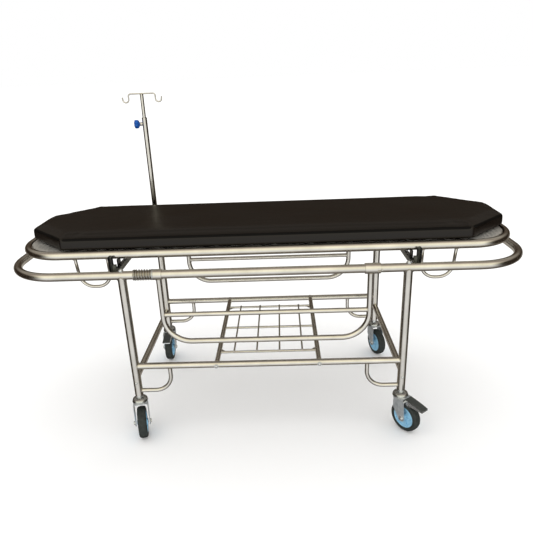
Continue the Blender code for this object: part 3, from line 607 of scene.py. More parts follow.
def add_frame_welds():
    welds = Shape()
    for end, side in CORNERS:
        sx, sy = ENDS[end], SIDES[side]
        x, y = sx * LEG_X, sy * BUMPER_HALF_WIDTH
        welds.weld((x, y, BUMPER_Z), -Z, X, TUBE_R, TUBE_R + 0.0003, 0.0024)
        welds.weld((x, y, SIDE_TUBE_Z), -sx * X, Z, LOWER_TUBE_R, TUBE_R)
        welds.weld((x, y, END_TUBE_Z), -sy * Y, Z, LOWER_TUBE_R, TUBE_R)
        welds.weld((x, y, BRACE_Z), -sx * X, Z, BRACE_R, TUBE_R, 0.0018)
        welds.weld((sx * BRACE_X, y, SIDE_TUBE_Z), -Z, X, BRACE_R, LOWER_TUBE_R, 0.0018)
    welds.weld((-LEG_X, BUMPER_HALF_WIDTH, BUMPER_Z), Z, X, SOCKET_R, TUBE_R + 0.0003)
    for sx in ENDS.values():
        for sy in SIDES.values():
            place = (sx * SHELF_X, sy * BUMPER_HALF_WIDTH, SIDE_TUBE_Z)
            welds.weld(place, -sy * Y, Z, SHELF_TUBE_R, LOWER_TUBE_R, 0.0014)
            for bar_y in (0.0, sy * SHELF_BAR_Y):
                welds.weld((sx * SHELF_X, bar_y, SIDE_TUBE_Z), -sx * X, Z, SHELF_BAR_R, SHELF_TUBE_R, 0.0014)
    welds.piece("frame_weld_beads", WELD, "trolley", slot="stainless")


def add_cross_beams():
    """Folded beams, each with a rubber strip, pad plates under the stretcher tube and channel-shaped end stops."""
    width, wall, height, stop_start, stop_end = 0.015, 0.0025, 0.020, 0.025, 0.040
    for end, sign in ENDS.items():
        low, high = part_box(f"cross_beam_{end}")
        inner, outer = sorted((low.x, high.x), key=abs)
        z0, z1 = low.z, low.z + height

        def add_box(shape, across, y, z):
            """A box between two distances out from the beam's inner face."""
            x = sorted(inner + sign * distance for distance in across)
            shape.box((x[0], min(y), z[0]), (x[1], max(y), z[1]))

        beam, strip, bolts = Shape(), Shape(), Shape()
        for across in ((0.0, wall), (width - wall, width)):
            add_box(beam, across, (low.y, high.y), (z0, z1 - 0.0012))
        add_box(beam, (0.0005, width - 0.0005), (low.y, high.y), (z1 - 0.0042, z1 - 0.0014))
        add_box(strip, (-0.0002, width + 0.0002), (low.y, high.y), (z1 - 0.0022, z1))
        for side in SIDES.values():
            near, far = STRETCHER_HALF_WIDTH + 0.018, high.y - 0.002
            web_y = (side * (near + 0.001), side * (far - 0.001))
            add_box(beam, (width - 0.001, 0.027), web_y, (z0 + 0.004, z1 + 0.0095))
            stop_x = (stop_start + 0.0005, stop_end - 0.0005)
            add_box(beam, stop_x, (side * near, side * (near + wall)), (z0 + 0.002, high.z - 0.0005))
            pad_y = (side * (STRETCHER_HALF_WIDTH - 0.018), side * (STRETCHER_HALF_WIDTH + 0.012))
            add_box(strip, (0.009, width), pad_y, (z0 + 0.010, STRETCHER_Z - TUBE_R - 0.0003))
            for across in ((stop_start, stop_start + wall), (stop_end - wall, stop_end)):
                add_box(strip, across, (side * near, side * far), (z0 + 0.002, high.z))
            middle = (inner + sign * width / 2, side * (STRETCHER_HALF_WIDTH - 0.060), z1 - 0.0002)
            bolts.nut(middle, Z, 0.009, 0.004, False)
            face = (outer - sign * 0.0001, side * (STRETCHER_HALF_WIDTH + 0.0262), z0 + 0.036)
            bolts.nut(face, (sign, 0, 0), 0.0065, 0.0024, False)
        beam.piece(f"beam_{end}", BEAM_PAINT, "trolley", [f"cross_beam_{end}"], "black_paint", bevel=0.0008)
        strip.piece(f"beam_strip_{end}", BLACK, "trolley", slot="black_paint", bevel=0.0008)
        bolts.piece(f"beam_bolts_{end}", BRIGHT_ZINC, "trolley", slot="zinc")


def add_shelf():
    reach = BUMPER_HALF_WIDTH - LOWER_TUBE_R + 0.004
    z = SIDE_TUBE_Z
    rack = Shape()
    for x in (-SHELF_X, SHELF_X):
        rack.bar((x, -reach, z), (x, reach, z), SHELF_TUBE_R, 28)
    for y in (-SHELF_BAR_Y, 0.0, SHELF_BAR_Y):
        rack.bar((-SHELF_X, y, z), (SHELF_X, y, z), SHELF_BAR_R, 20)
    high = z + SHELF_BAR_R
    for x in SHELF_WIRE_X:
        for wire_x in (-x, x):
            y = SHELF_BAR_Y + 0.004
            rack.bar((wire_x, -y, high), (wire_x, y, high), SHELF_WIRE_R, 14, chamfer=0.0008)
    rack.piece("shelf_bars", STAINLESS, "trolley", ["shelf_rack"], "stainless")
    tabs = Shape()
    for sx in (-1, 1):
        for sy in (-1, 1):
            x, y = sx * (SHELF_X - SHELF_TUBE_R + 0.001), sy * (SHELF_BAR_Y - SHELF_BAR_R + 0.001)
            outline = [(x, y), (x - sx * 0.020, y), (x, y - sy * 0.020)]
            if sx * sy < 0:
                outline.reverse()
            tabs.slab(outline, z - 0.001, z + 0.001)
    for x in SHELF_WIRE_X:
        for wire_x in (-x, x):
            for y in (-SHELF_BAR_Y, 0.0, SHELF_BAR_Y):
                tabs.weld((wire_x, y, z + 0.0032), Z, X, SHELF_WIRE_R + 0.0006, None, 0.0016)
    tabs.piece("shelf_gussets", WELD, "trolley", slot="stainless")


# Radius and height; a third value 6 makes the ring a hexagon
STEM_PROFILE = [(0.0, 0.1707), (0.0060, 0.1707), (0.0060, 0.1688), (0.0092, 0.1688), (0.0104, 0.1680, 6)]
STEM_PROFILE += [(0.0104, 0.1626, 6), (0.0092, 0.1618), (0.0134, 0.1616), (0.0136, 0.1602)]
STEM_PROFILE += [(0.0100, 0.1596), (0.0, 0.1596)]
KING_PIN_PROFILE = [(0.0, 0.1352), (0.0105, 0.1352), (0.0110, 0.1345), (0.0110, 0.1330), (0.0, 0.1325)]
RACE_PROFILE = [(0.0, 0.1606), (0.0150, 0.1604), (0.0182, 0.1596), (0.0235, 0.1570), (0.0272, 0.1543)]
RACE_PROFILE += [(0.0291, 0.1515), (0.0298, 0.1485), (0.0298, 0.1470), (0.0284, 0.1462)]
RACE_PROFILE += [(0.0284, 0.1452), (0.0, 0.1452)]


def add_caster_stems():
    """The lock nut and stud under each leg, and the race cap."""
    for end, side in CORNERS:
        name = f"{end}_{side}"
        move = Matrix.Translation((ENDS[end] * LEG_X, SIDES[side] * BUMPER_HALF_WIDTH, 0.0))
        stem = Shape()
        stem.lathe(STEM_PROFILE, move=move)
        stem.lathe(KING_PIN_PROFILE, move=move)
        stem.piece(f"stem_nut_{name}", BRIGHT_ZINC, "trolley", slot="zinc")
        cap = Shape().lathe(RACE_PROFILE, 48, move=move)
        cap.piece(f"race_cap_{name}", RACE_ZINC, "trolley", [f"caster_stem_{name}"], "zinc")


# ---------------------------------------------------------------- guard rails


def sleeve(shape, centre, start, end, notch=0.0):
    """A tube section round the bumper. A notch cuts both of its sides back from its far end."""
    steps = 72
    edges = [start, end - notch, end] if notch else [start, end]
    half_open = math.radians(12.6)

    def kept(row, column):
        turn = math.radians((column % steps + 0.5) * 360 / steps + 2.5)
        beside = min(abs(turn), abs(turn - math.pi), abs(turn - 2 * math.pi))
        return 0 <= row < len(edges) - 1 and not (notch and row == 1 and beside < half_open)

    verts = []
    for radius in (SLEEVE_R, SLEEVE_BORE):
        for x in edges:
            for j in range(steps):
                turn = math.radians(j * 360 / steps + 2.5)
                verts.append((x, centre[1] + radius * math.cos(turn), centre[2] + radius * math.sin(turn)))
    rows = len(edges)

    def at(layer, row, column):
        return (layer * rows + row) * steps + column % steps

    faces = []
    for i in range(rows - 1):
        for j in range(steps):
            if not kept(i, j):
                continue
            faces.append((at(0, i, j), at(0, i, j + 1), at(0, i + 1, j + 1), at(0, i + 1, j)))
            faces.append((at(1, i, j), at(1, i + 1, j), at(1, i + 1, j + 1), at(1, i, j + 1)))
            if not kept(i - 1, j):
                faces.append((at(0, i, j), at(1, i, j), at(1, i, j + 1), at(0, i, j + 1)))
            if not kept(i + 1, j):
                faces.append((at(0, i + 1, j), at(0, i + 1, j + 1), at(1, i + 1, j + 1), at(1, i + 1, j)))
            if not kept(i, j - 1):
                faces.append((at(0, i, j), at(0, i + 1, j), at(1, i + 1, j), at(1, i, j)))
            if not kept(i, j + 1):
                faces.append((at(0, i, j + 1), at(1, i, j + 1), at(1, i + 1, j + 1), at(0, i + 1, j + 1)))
    used = sorted({i for face in faces for i in face})
    place = {old: new for new, old in enumerate(used)}
    verts = [verts[i] for i in used]
    faces = [tuple(place[i] for i in face) for face in faces]
    run = []
    for face in faces:
        for i in face:
            x, y, z = verts[i]
            run.append((y - centre[1], z - centre[2], x))
    return shape.add(verts, faces, run)


def add_guard_rail(side):
    body, y = f"rail_{side}", SIDES[side] * BUMPER_HALF_WIDTH
    top = BUMPER_Z - SLEEVE_R + 0.0030
    corners = ((-RAIL_X, y, top), (-RAIL_X, y, RAIL_BOTTOM_Z), (RAIL_X, y, RAIL_BOTTOM_Z), (RAIL_X, y, top))
    rail = Shape().sweep(rounded_path(corners, RAIL_BEND_R, 18), RAIL_R, 32)
    mid_z = BUMPER_Z - RAIL_MID_DROP
    rail.bar((-RAIL_X + 0.004, y, mid_z), (RAIL_X - 0.004, y, mid_z), RAIL_MID_R, 28)
    rail.piece(f"rail_tube_{side}", STAINLESS, body, [f"guard_rail_{side}"], "stainless")
    sleeves = sleeve(Shape(), (0, y, BUMPER_Z), *SPRING_SLEEVE)
    sleeve(sleeves, (0, y, BUMPER_Z), *LOCK_SLEEVE, NOTCH_DEPTH)
    sleeves.piece(f"rail_sleeves_{side}", STAINLESS, body, slot="stainless", bevel=0.0005)
    welds = Shape()
    for sx in (-1, 1):
        welds.weld((sx * RAIL_X, y, BUMPER_Z), -Z, X, RAIL_R, SLEEVE_R, 0.0020)
        welds.weld((sx * RAIL_X, y, mid_z), -sx * X, Z, RAIL_MID_R, RAIL_R, 0.0018)
    welds.piece(f"rail_weld_beads_{side}", WELD, body, slot="stainless")


def add_rail_spring(side):
    """The return spring with its stop, washer and lock pin, over a darker band on the bumper that is painted shade
    between the coils.
    """
    y = SIDES[side] * BUMPER_HALF_WIDTH
    stop_low, stop_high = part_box(f"rail_stop_{side}")
    washer_low, washer_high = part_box(f"rail_washer_{side}")
    start, end = stop_high.x + SPRING_WIRE_R + 0.0002, washer_low.x - SPRING_WIRE_R - 0.0002
    per_turn, rest_turns = 28, 0.75
    total = int((SPRING_TURNS + 2 * rest_turns) * per_turn)
    lead = SPRING_WIRE_R * 2 * rest_turns
    points = []
    for i in range(total + 1):
        turns = i / per_turn
        share = min(max((turns - rest_turns) / SPRING_TURNS, 0.0), 1.0)
        if turns < rest_turns:
            x = start + lead * turns / rest_turns
        elif turns > rest_turns + SPRING_TURNS:
            x = end - lead * (1 - (turns - rest_turns - SPRING_TURNS) / rest_turns)
        else:
            x = start + lead + (end - start - 2 * lead) * share
        angle = 2 * math.pi * turns
        points.append((x, y + SPRING_R * math.cos(angle), BUMPER_Z + SPRING_R * math.sin(angle)))
    spring = Shape().sweep(points, SPRING_WIRE_R, 14, chamfer=0.0004)
    spring = spring.piece(f"spring_{side}", SPRING_STEEL, "trolley", [f"rail_spring_{side}"], "spring_steel")
    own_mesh(spring)
    # A darker band on the bumper under the coils, painted shade between them.
    band = Shape().bar((stop_high.x - 0.001, y, BUMPER_Z), (washer_low.x + 0.001, y, BUMPER_Z), TUBE_R + 0.0003, 40)
    band.piece(f"painted_spring_shade_{side}", SPRING_GAP_SHADE, "trolley", slot="stainless")
    for node, name, body, finish, low, high in (
        ("rail_stop", "spring_stop", "trolley", STAINLESS, stop_low, stop_high),
        ("rail_washer", "spring_washer", f"rail_slider_{side}", BRIGHT_ZINC, washer_low, washer_high),
    ):
        radius, half = (high.z - low.z) / 2, (high.x - low.x) / 2
        soft = 0.0005
        profile = [(radius - soft, half), (radius, half - soft), (radius, soft - half), (radius - soft, -half)]
        profile += [(SLEEVE_BORE, -half), (SLEEVE_BORE, half)]
        washer = Shape().lathe(profile, 48, True, facing(((low.x + high.x) / 2, y, BUMPER_Z), X))
        slot_name = "stainless" if node == "rail_stop" else "zinc"
        washer.piece(f"{name}_{side}", finish, body, [f"{node}_{side}"], slot_name)
    low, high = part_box(f"rail_lock_pin_{side}")
    inner, outer = sorted((low.y, high.y), key=abs)
    pin_x = (low.x + high.x) / 2
    pin = Shape().sweep(
        [(pin_x, inner - SIDES[side] * 0.001, BUMPER_Z), (pin_x, outer, BUMPER_Z)], 0.003, 24, chamfer=0.0006
    )
    pin.piece(f"lock_pin_{side}", STAINLESS, "trolley", [f"rail_lock_pin_{side}"], "stainless")


# ---------------------------------------------------------------- stretcher


def add_stretcher_loop():
    outline = rounded_rectangle(STRETCHER_HALF_LENGTH, STRETCHER_HALF_WIDTH, STRETCHER_CORNER_R)
    loop = Shape().sweep([(x, y, STRETCHER_Z) for x, y in outline], TUBE_R, 40, closed=True)
    loop.piece("stretcher_tube", STAINLESS, "stretcher", ["stretcher_loop"], "stainless")
    top = STRETCHER_Z - TUBE_R / 2
    feet, welds = Shape(), Shape()
    for sx in ENDS.values():
        for sy in SIDES.values():
            y = sy * STRETCHER_HALF_WIDTH
            inner, outer = sx * (FOOT_X - FOOT_HALF_WIDTH), sx * (FOOT_X + FOOT_HALF_WIDTH)
            inner_top, outer_top = inner + sx * FOOT_SPREAD[0], outer + sx * FOOT_SPREAD[1]
            corners = ((inner_top, y, top), (inner, y, FOOT_BOTTOM_Z), (outer, y, FOOT_BOTTOM_Z), (outer_top, y, top))
            feet.sweep(rounded_path(corners, FOOT_HALF_WIDTH - 0.005, 14), FOOT_R, 22)
            for x in (inner_top, outer_top):
                welds.weld((x, y, STRETCHER_Z), -Z, X, FOOT_R + 0.0004, TUBE_R, 0.0018)
    feet.piece("stretcher_feet", STAINLESS, "stretcher", slot="stainless")
    welds.piece("stretcher_weld_beads", WELD, "stretcher", slot="stainless")


def rib_height(x, reach):
    """The pressed profile of the bed panel: narrow ribs at the two ends, broad ones between them."""
    rise, end_pitch, end_ribs, mid_pitch = 0.0030, 0.0175, 5, 0.071
    from_end = reach - abs(x)
    if from_end < end_ribs * end_pitch + 0.022:
        share = ((from_end - 0.022) % end_pitch) / end_pitch
        return rise * 0.8 * max(0.0, math.cos(2 * math.pi * (share - 0.5))) if from_end > 0.022 else 0.0
    share = (abs(x) % mid_pitch) / mid_pitch
    return rise * min(max(3.2 * math.cos(2 * math.pi * (share - 0.5)) - 1.4, 0.0), 1.0)


def add_bed_panel():
    low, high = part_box("bed_panel")
    reach, half_width, radius = high.x, high.y, STRETCHER_CORNER_R - 0.0135
    columns = np.linspace(-reach, reach, 741)
    rows = np.array([-1, -0.985, -0.965, -0.94, -0.90, -0.6, -0.3, 0, 0.3, 0.6, 0.90, 0.94, 0.965, 0.985, 1])
    verts = []
    for level in (0.0, -PANEL_THICK):
        for x in columns:
            past = max(abs(x) - (reach - radius), 0.0)
            width = half_width - radius + math.sqrt(max(radius**2 - past**2, 0.0))
            for v in rows:
                fade = min(max((width * (1 - abs(v)) - 0.004) / 0.010, 0.0), 1.0)
                verts.append((x, v * width, low.z + PANEL_THICK + level + fade * rib_height(x, reach)))
    faces = shell_faces(len(columns), len(rows), flip=True)
    run = [(verts[i][1], verts[i][2], verts[i][0]) for face in faces for i in face]
    panel = Shape().add(verts, faces, run)
    panel.piece("pressed_panel", STAINLESS_SHEET, "stretcher", ["bed_panel"], "stainless", angle=50)


def mattress_outline(inset):
    """The cut-cornered outline about the pad's own middle, moved in by the same distance all round."""
    low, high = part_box("mattress")
    length, width = (high.x - low.x) / 2 - inset, high.y - inset
    cut_x, cut_y = MATTRESS_CHAMFER
    spare = cut_x + cut_y - math.hypot(cut_x, cut_y)
    cut_x, cut_y = cut_x - inset * spare / cut_y, cut_y - inset * spare / cut_x
    outline = [(length, -width + cut_y), (length, width - cut_y), (length - cut_x, width)]
    outline += [(-x, y) for x, y in reversed(outline)]
    return outline + [(cut_x - length, -width), (length - cut_x, -width)]


def remeshed(obj, size):
    step = obj.modifiers.new("Remesh", "REMESH")
    step.mode, step.voxel_size = "VOXEL", size
    bpy.context.view_layer.update()
    graph = bpy.context.evaluated_depsgraph_get()
    mesh = bpy.data.meshes.new_from_object(obj.evaluated_get(graph))
    made = bpy.data.objects.new("mattress_cover", mesh)
    bpy.context.scene.collection.objects.link(made)
    bpy.data.objects.remove(obj, do_unlink=True)
    return made


def inflate(obj, floor_z, cap):
    """Cloth under pressure, held along its bottom, with its travel eased to a cap."""
    rest = np.array([v.co for v in obj.data.vertices])
    held = obj.vertex_groups.new(name="held")
    held.add([int(i) for i in np.nonzero(rest[:, 2] < floor_z + 0.004)[0]], 1.0, "REPLACE")
    cloth = obj.modifiers.new("Cloth", "CLOTH")
    cloth.settings.use_pressure = True
    cloth.settings.uniform_pressure_force = 4.0
    cloth.settings.vertex_group_mass = "held"
    cloth.settings.quality = 5
    cloth.settings.effector_weights.gravity = 0.0
    cloth.point_cache.frame_start, cloth.point_cache.frame_end = 1, 20
    scene = bpy.context.scene
    for number in range(1, 21):
        scene.frame_set(number)
    graph = bpy.context.evaluated_depsgraph_get()
    swollen = np.array([v.co for v in obj.evaluated_get(graph).data.vertices])
    obj.modifiers.remove(cloth)
    scene.frame_set(1)
    outward = np.array([v.normal for v in obj.data.vertices])
    travel = swollen - rest
    rise = (travel * outward).sum(1)
    slide = travel - outward * rise[:, None]
    travel = outward * np.where(rise > 0, rise, rise * 0.15)[:, None] + slide * 0.35
    far = np.linalg.norm(travel, axis=1)
    eased = cap * np.tanh(far / cap) / np.maximum(far, 1e-9)
    obj.data.vertices.foreach_set("co", (rest + travel * eased[:, None]).ravel())
    obj.data.update()


def mattress_levels(low, rim, crown):
    """Inset and height of each ring of the pad, from its underside over the rounded rim to the flat middle."""
    levels = [(0.0070, low), (0.0022, low + 0.0022), (0.0, low + 0.0070)]
    for degrees in range(0, 61, 12):
        turn = math.radians(degrees)
        levels.append((0.009 * (1 - math.cos(turn)), rim - 0.0078 + 0.009 * math.sin(turn)))
    start = levels[-1]
    for away in (0.004, 0.009, 0.016, 0.026, 0.040, 0.060, 0.090, 0.130):
        levels.append((start[0] + away, start[1] + crown * (1 - math.exp(-away / 0.023))))
    return levels


def add_shade_seam_tape(pad, rim, middle):
    """Near-black binding tape sewn over the rim, following the finished cover; its dark colour and low specular are
    painted shade for the crease at the top edge.
    """
    bpy.context.view_layer.update()
    tree = BVHTree.FromObject(pad, bpy.context.evaluated_depsgraph_get())
    corners = [Vector((x + middle, y, rim - 0.0005)) for x, y in mattress_outline(0.0040)]
    spots = []
    for i, corner in enumerate(corners):
        after = corners[(i + 1) % len(corners)]
        steps = max(int((after - corner).length / 0.009), 1)
        spots += [corner.lerp(after, j / steps) for j in range(steps)]
    found = [tree.find_nearest(spot)[:2] for spot in spots]
    path = np.array([spot for spot, _ in found])
    out = np.array([normal for _, normal in found])
    for _ in range(3):
        path = (np.roll(path, 1, 0) + path * 2 + np.roll(path, -1, 0)) / 4
        out = (np.roll(out, 1, 0) + out + np.roll(out, -1, 0)) / 3
    ahead = np.roll(path, -1, 0) - np.roll(path, 1, 0)
    ahead /= np.linalg.norm(ahead, axis=1)[:, None]
    out -= ahead * (out * ahead).sum(1)[:, None]
    out /= np.linalg.norm(out, axis=1)[:, None]
    wide = np.cross(ahead, out)
    turn = np.linspace(0, 2 * math.pi, 16, endpoint=False)
    spread = TAPE_HALF * np.sin(turn)
    lift = TAPE_THICK * np.cos(turn) - spread**2 / (2 * TAPE_BEND_R)
    rings = path[:, None] + out[:, None] * lift[None, :, None] + wide[:, None] * spread[None, :, None]
    tape = Shape().add(rings.reshape(-1, 3), ring_faces(len(path), len(turn), closed=True, flip=True))
    # The tape's dark colour is painted shade along the pad's top edge.
    tape = tape.piece("mattress_binding_painted_shade", SHADE_BINDING, "stretcher", slot="vinyl", angle=60)


def add_mattress():
    low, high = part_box("mattress")
    middle, rim = (low.x + high.x) / 2, high.z - MATTRESS_RISE
    verts = []
    levels = mattress_levels(low.z, rim, 0.0125)
    for away, z in levels:
        verts += [(x, y, z) for x, y in mattress_outline(MATTRESS_INSET + away)]
    sides = len(verts) // len(levels)
    faces = end_faces(len(levels), sides) + ring_faces(len(levels), sides)
    block = Shape().add(verts, faces, None, Matrix.Translation((middle, 0, 0)))
    block = block.piece("mattress_block", VINYL, "stretcher")
    block.parent = None
    pad = remeshed(block, 0.0060)
    inflate(pad, low.z, 0.0040)
    mesh = pad.data
    points = np.array([v.co for v in mesh.vertices])
    run = mesh.attributes.new("run", "FLOAT_VECTOR", "POINT")
    run.data.foreach_set("vector", points.astype(np.float32).ravel())
    mesh.polygons.foreach_set("use_smooth", [True] * len(mesh.polygons))
    mesh.materials.clear()
    mesh.materials.append(VINYL)
    step = pad.modifiers.new("Smooth", "SMOOTH")
    step.factor, step.iterations = 0.5, 3
    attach(pad, "stretcher")
    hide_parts("mattress")
    add_shade_seam_tape(pad, rim, middle)


# ---------------------------------------------------------------- casters


def wheel_frame(name):
    """The swivel's place and turn, with +X the way the wheel trails."""
    end, side = name.split("_")
    place = Matrix.Translation((ENDS[end] * LEG_X, SIDES[side] * BUMPER_HALF_WIDTH, 0.0))
    return place @ Matrix.Rotation(math.radians(CASTER_ANGLES[name]), 4, "Z")


def fork_width(z):
    """Front and back edge of a cheek at a height."""
    radius, tangent_low, tangent_high = 0.0140, WHEEL_R - 0.0059, WHEEL_R - 0.0012
    if z <= tangent_low:
        half = math.sqrt(max(radius**2 - (z - WHEEL_R) ** 2, 0.0))
        return TRAIL - half, TRAIL + half
    front = -0.0100 + (0.1000 - min(z, 0.1000)) / (0.1000 - tangent_low) * 0.0293
    back_share = min(max((z - tangent_high) / (0.134 - tangent_high), 0.0), 1.0)
    back = 0.0459 - 0.0059 * back_share
    if z < tangent_high:
        back = TRAIL + math.sqrt(radius**2 - (z - WHEEL_R) ** 2)
    return front, back


def add_fork(name):
    """One pressed plate bent over the wheel, with a rib down each cheek."""
    half, bend = FORK_WIDTH / 2, 0.009
    bottom = WHEEL_R - 0.0140 + 0.00002
    spine = [(-half, bottom + (CROWN_Z - bend - bottom) * t**1.5) for t in np.linspace(0, 1, 31)]
    for turn in np.linspace(0.2, 1.57, 8):
        spine.append((-half + bend - bend * math.cos(turn), CROWN_Z - bend + bend * math.sin(turn)))
    spine += [(y, CROWN_Z) for y in np.linspace(-half + bend + 0.002, 0.0, 8)]
    spine += [(-y, z) for y, z in reversed(spine[:-1])]
    across = np.linspace(0, 1, 17)
    spine = np.array(spine)
    along = np.gradient(spine, axis=0)
    along /= np.linalg.norm(along, axis=1)[:, None]
    normal = np.stack([-along[:, 1], along[:, 0]], 1)
    verts = []
    for depth in (0.0, FORK_PLATE):
        for (y, z), (ny, nz) in zip(spine, normal):
            front, back = fork_width(z)
            crown = min(max((z - (CROWN_Z - bend)) / bend, 0.0), 1.0)
            front -= 0.014 * crown * math.sqrt(max(1 - (y / half) ** 2, 0.0))
            back -= 0.008 * crown
            fade = min((CROWN_Z - 0.012 - z) / 0.008, (z - WHEEL_R - 0.020) / 0.010, 1.0)
            for v in across:
                rib = 0.0012 * max(fade, 0.0) * max(0.0, 1 - abs(v - 0.5) / 0.14)
                push = rib - depth
                verts.append((front + (back - front) * v, y + ny * push, z + nz * push))
    faces = shell_faces(len(spine), len(across))
    move = wheel_frame(name)
    fork = Shape().add(verts, faces, None, move)
    ring = [(0.0302, 0.1448), (0.0306, 0.1443), (0.0306, 0.1438), (0.0300, 0.1436)]
    ring += [(0.0120, 0.1436), (0.0120, 0.1448)]
    fork.piece(f"fork_{name}", ZINC, f"caster_{name}", [f"caster_fork_{name}"], "zinc", angle=30)
    race = Shape().lathe(ring, 48, True, move)
    race.piece(f"race_ring_{name}", BRIGHT_ZINC, f"caster_{name}", slot="zinc")
    washer = [(0.0, 0.0012), (0.0094, 0.0012), (0.0100, 0.0006), (0.0100, 0.0), (0.0, 0.0)]
    bolt = Shape()
    for sign in (-1, 1):
        face = move @ Vector((TRAIL, sign * half, WHEEL_R))
        out = move.to_3x3() @ Vector((0, sign, 0))
        bolt.lathe(washer, 36, move=facing(face, out))
        bolt.nut(face + out * 0.0010, out, 0.0130, 0.0048, False)
    bolt.piece(f"axle_bolt_{name}", BRIGHT_ZINC, f"caster_{name}", [f"caster_axle_{name}"], "zinc")


def add_wheel(name):
    """Tyre with a crowned tread, and a spoked hub with its bearing caps."""
    move = wheel_frame(name) @ Matrix.Translation((TRAIL, 0.0, WHEEL_R)) @ Matrix.Rotation(math.pi / 2, 4, "X")
    wide, inner = TYRE_WIDTH / 2, TYRE_INNER_R
    half_profile = [
        (inner + 0.0004, wide - 0.0030),
        (inner + 0.0008, wide - 0.0012),
        (inner + 0.0030, wide),
        (WHEEL_R - 0.0062, wide - 0.0004),
        (WHEEL_R - 0.0036, wide - 0.0020),
        (WHEEL_R - 0.0018, wide - 0.0046),
        (WHEEL_R - 0.0008, wide - 0.0076),
        (WHEEL_R - 0.0010, wide - 0.0084),
        (WHEEL_R - 0.0004, wide - 0.0092),
        (WHEEL_R, wide - 0.0140),
    ]
    tyre = Shape().lathe(half_profile + [(r, -z) for r, z in reversed(half_profile)], 96, True, move)
    body = f"wheel_{name}"
    tyre.piece(f"tyre_{name}", RUBBER, body, [f"caster_tyre_{name}"], "tyre_rubber", angle=50)
    face = HUB_WIDTH / 2
    rim = wide - 0.0010
    hub_half = [
        (0.0075, face),
        (0.0112, face - 0.0004),
        (0.0122, face - 0.0018),
        (0.0136, rim - 0.0058),
        (0.0150, rim - 0.0066),
        (inner - 0.0110, rim - 0.0052),
        (inner - 0.0072, rim - 0.0044),
        (inner - 0.0062, rim - 0.0010),
        (inner - 0.0054, rim),
        (inner - 0.0012, rim + 0.0004),
        (inner + 0.0002, rim - 0.0006),
    ]
    hub = Shape().lathe(hub_half + [(r, -z) for r, z in reversed(hub_half)], 72, True, move)
    for i in range(6):
        for sign in (-1, 1):
            turn = Matrix.Rotation(math.pi / 3 * i, 4, "Z")
            low, high = (rim - 0.0075, rim - 0.0018) if sign > 0 else (0.0018 - rim, 0.0075 - rim)
            hub.box((0.0125, -0.0015, low), (inner - 0.0065, 0.0015, high), move @ turn)
    hub.piece(f"hub_{name}", HUB, body, [f"caster_hub_{name}"], "hub_plastic", angle=30, bevel=0.0005)
    caps = Shape()
    for sign in (-1, 1):
        flip = Matrix.Identity(4) if sign > 0 else Matrix.Rotation(math.pi, 4, "X")
        profile = [(0.0058, face + 0.0012), (0.0086, face + 0.0010), (0.0098, face)]
        profile += [(0.0098, face - 0.001), (0.0058, face - 0.001)]
        caps.lathe(profile, 36, True, move @ flip)
    caps.piece(f"bearing_caps_{name}", DUST_CAP, body, slot="nylon")


def add_pedal(name):
    """The brake pedal: a dished tread with grip ribs, on side plates with a scalloped edge."""
    body = f"pedal_{name}"
    move = wheel_frame(name) @ Matrix.Translation(PEDAL_HINGE)
    half = 0.018
    centre_line = [(0.003, 0.0118), (0.016, 0.0106), (0.031, 0.0088), (0.045, 0.0064)]
    centre_line += [(0.058, 0.0038), (0.071, 0.0008), (0.0825, -0.0024)]
    upright = Matrix.Rotation(math.pi / 2, 4, "X")
    top = [(x, z + 0.0010) for x, z in centre_line]
    under = [(x, z - 0.0016) for x, z in reversed(centre_line)]
    tread = Shape().slab(under[::-1] + top[::-1], -half, half, move @ upright)
    tread.piece(f"pedal_tread_{name}", PEDAL, body, [f"brake_pedal_{name}"], "pedal_steel", bevel=0.0006)
    grips = Shape()
    for i in range(7):
        share = 0.42 + 0.078 * i
        spot = share * (len(centre_line) - 1)
        k = min(int(spot), len(centre_line) - 2)
        (x0, z0), (x1, z1) = centre_line[k], centre_line[k + 1]
        part = spot - k
        x, z = x0 + (x1 - x0) * part, z0 + (z1 - z0) * part + 0.0010
        start, end = move @ Vector((x, -half + 0.003, z)), move @ Vector((x, half - 0.003, z))
        grips.bar(start, end, 0.0011, 10)
    grips.piece(f"pedal_grips_{name}", PEDAL, body, slot="pedal_steel")
    plates = Shape()
    lower = [(0.003, -0.0040), (0.010, -0.0090)]
    for i in range(17):
        x = 0.014 + 0.068 * i / 16
        lower.append((x, -0.0112 + 0.0024 * i / 16 + 0.0016 * (i % 2)))
    outline = lower + [(x, z - 0.0012) for x, z in reversed(centre_line)]
    for side in (-1, 1):
        y = sorted((side * (half - 0.0002), side * (half - 0.0022)))
        plates.slab(outline, y[0], y[1], move @ upright)
    plates.box((0.0815, -half + 0.0008, -0.0085), (0.0835, half - 0.0008, -0.0040), move)
    barrel = FORK_WIDTH / 2 - FORK_PLATE - 0.0006
    plates.bar(move @ Vector((0, -barrel, 0)), move @ Vector((0, barrel, 0)), 0.0040, 24, chamfer=0.0005)
    plates.piece(f"pedal_plates_{name}", BRIGHT_ZINC, body, slot="zinc", bevel=0.0003)


# ---------------------------------------------------------------- infusion pole


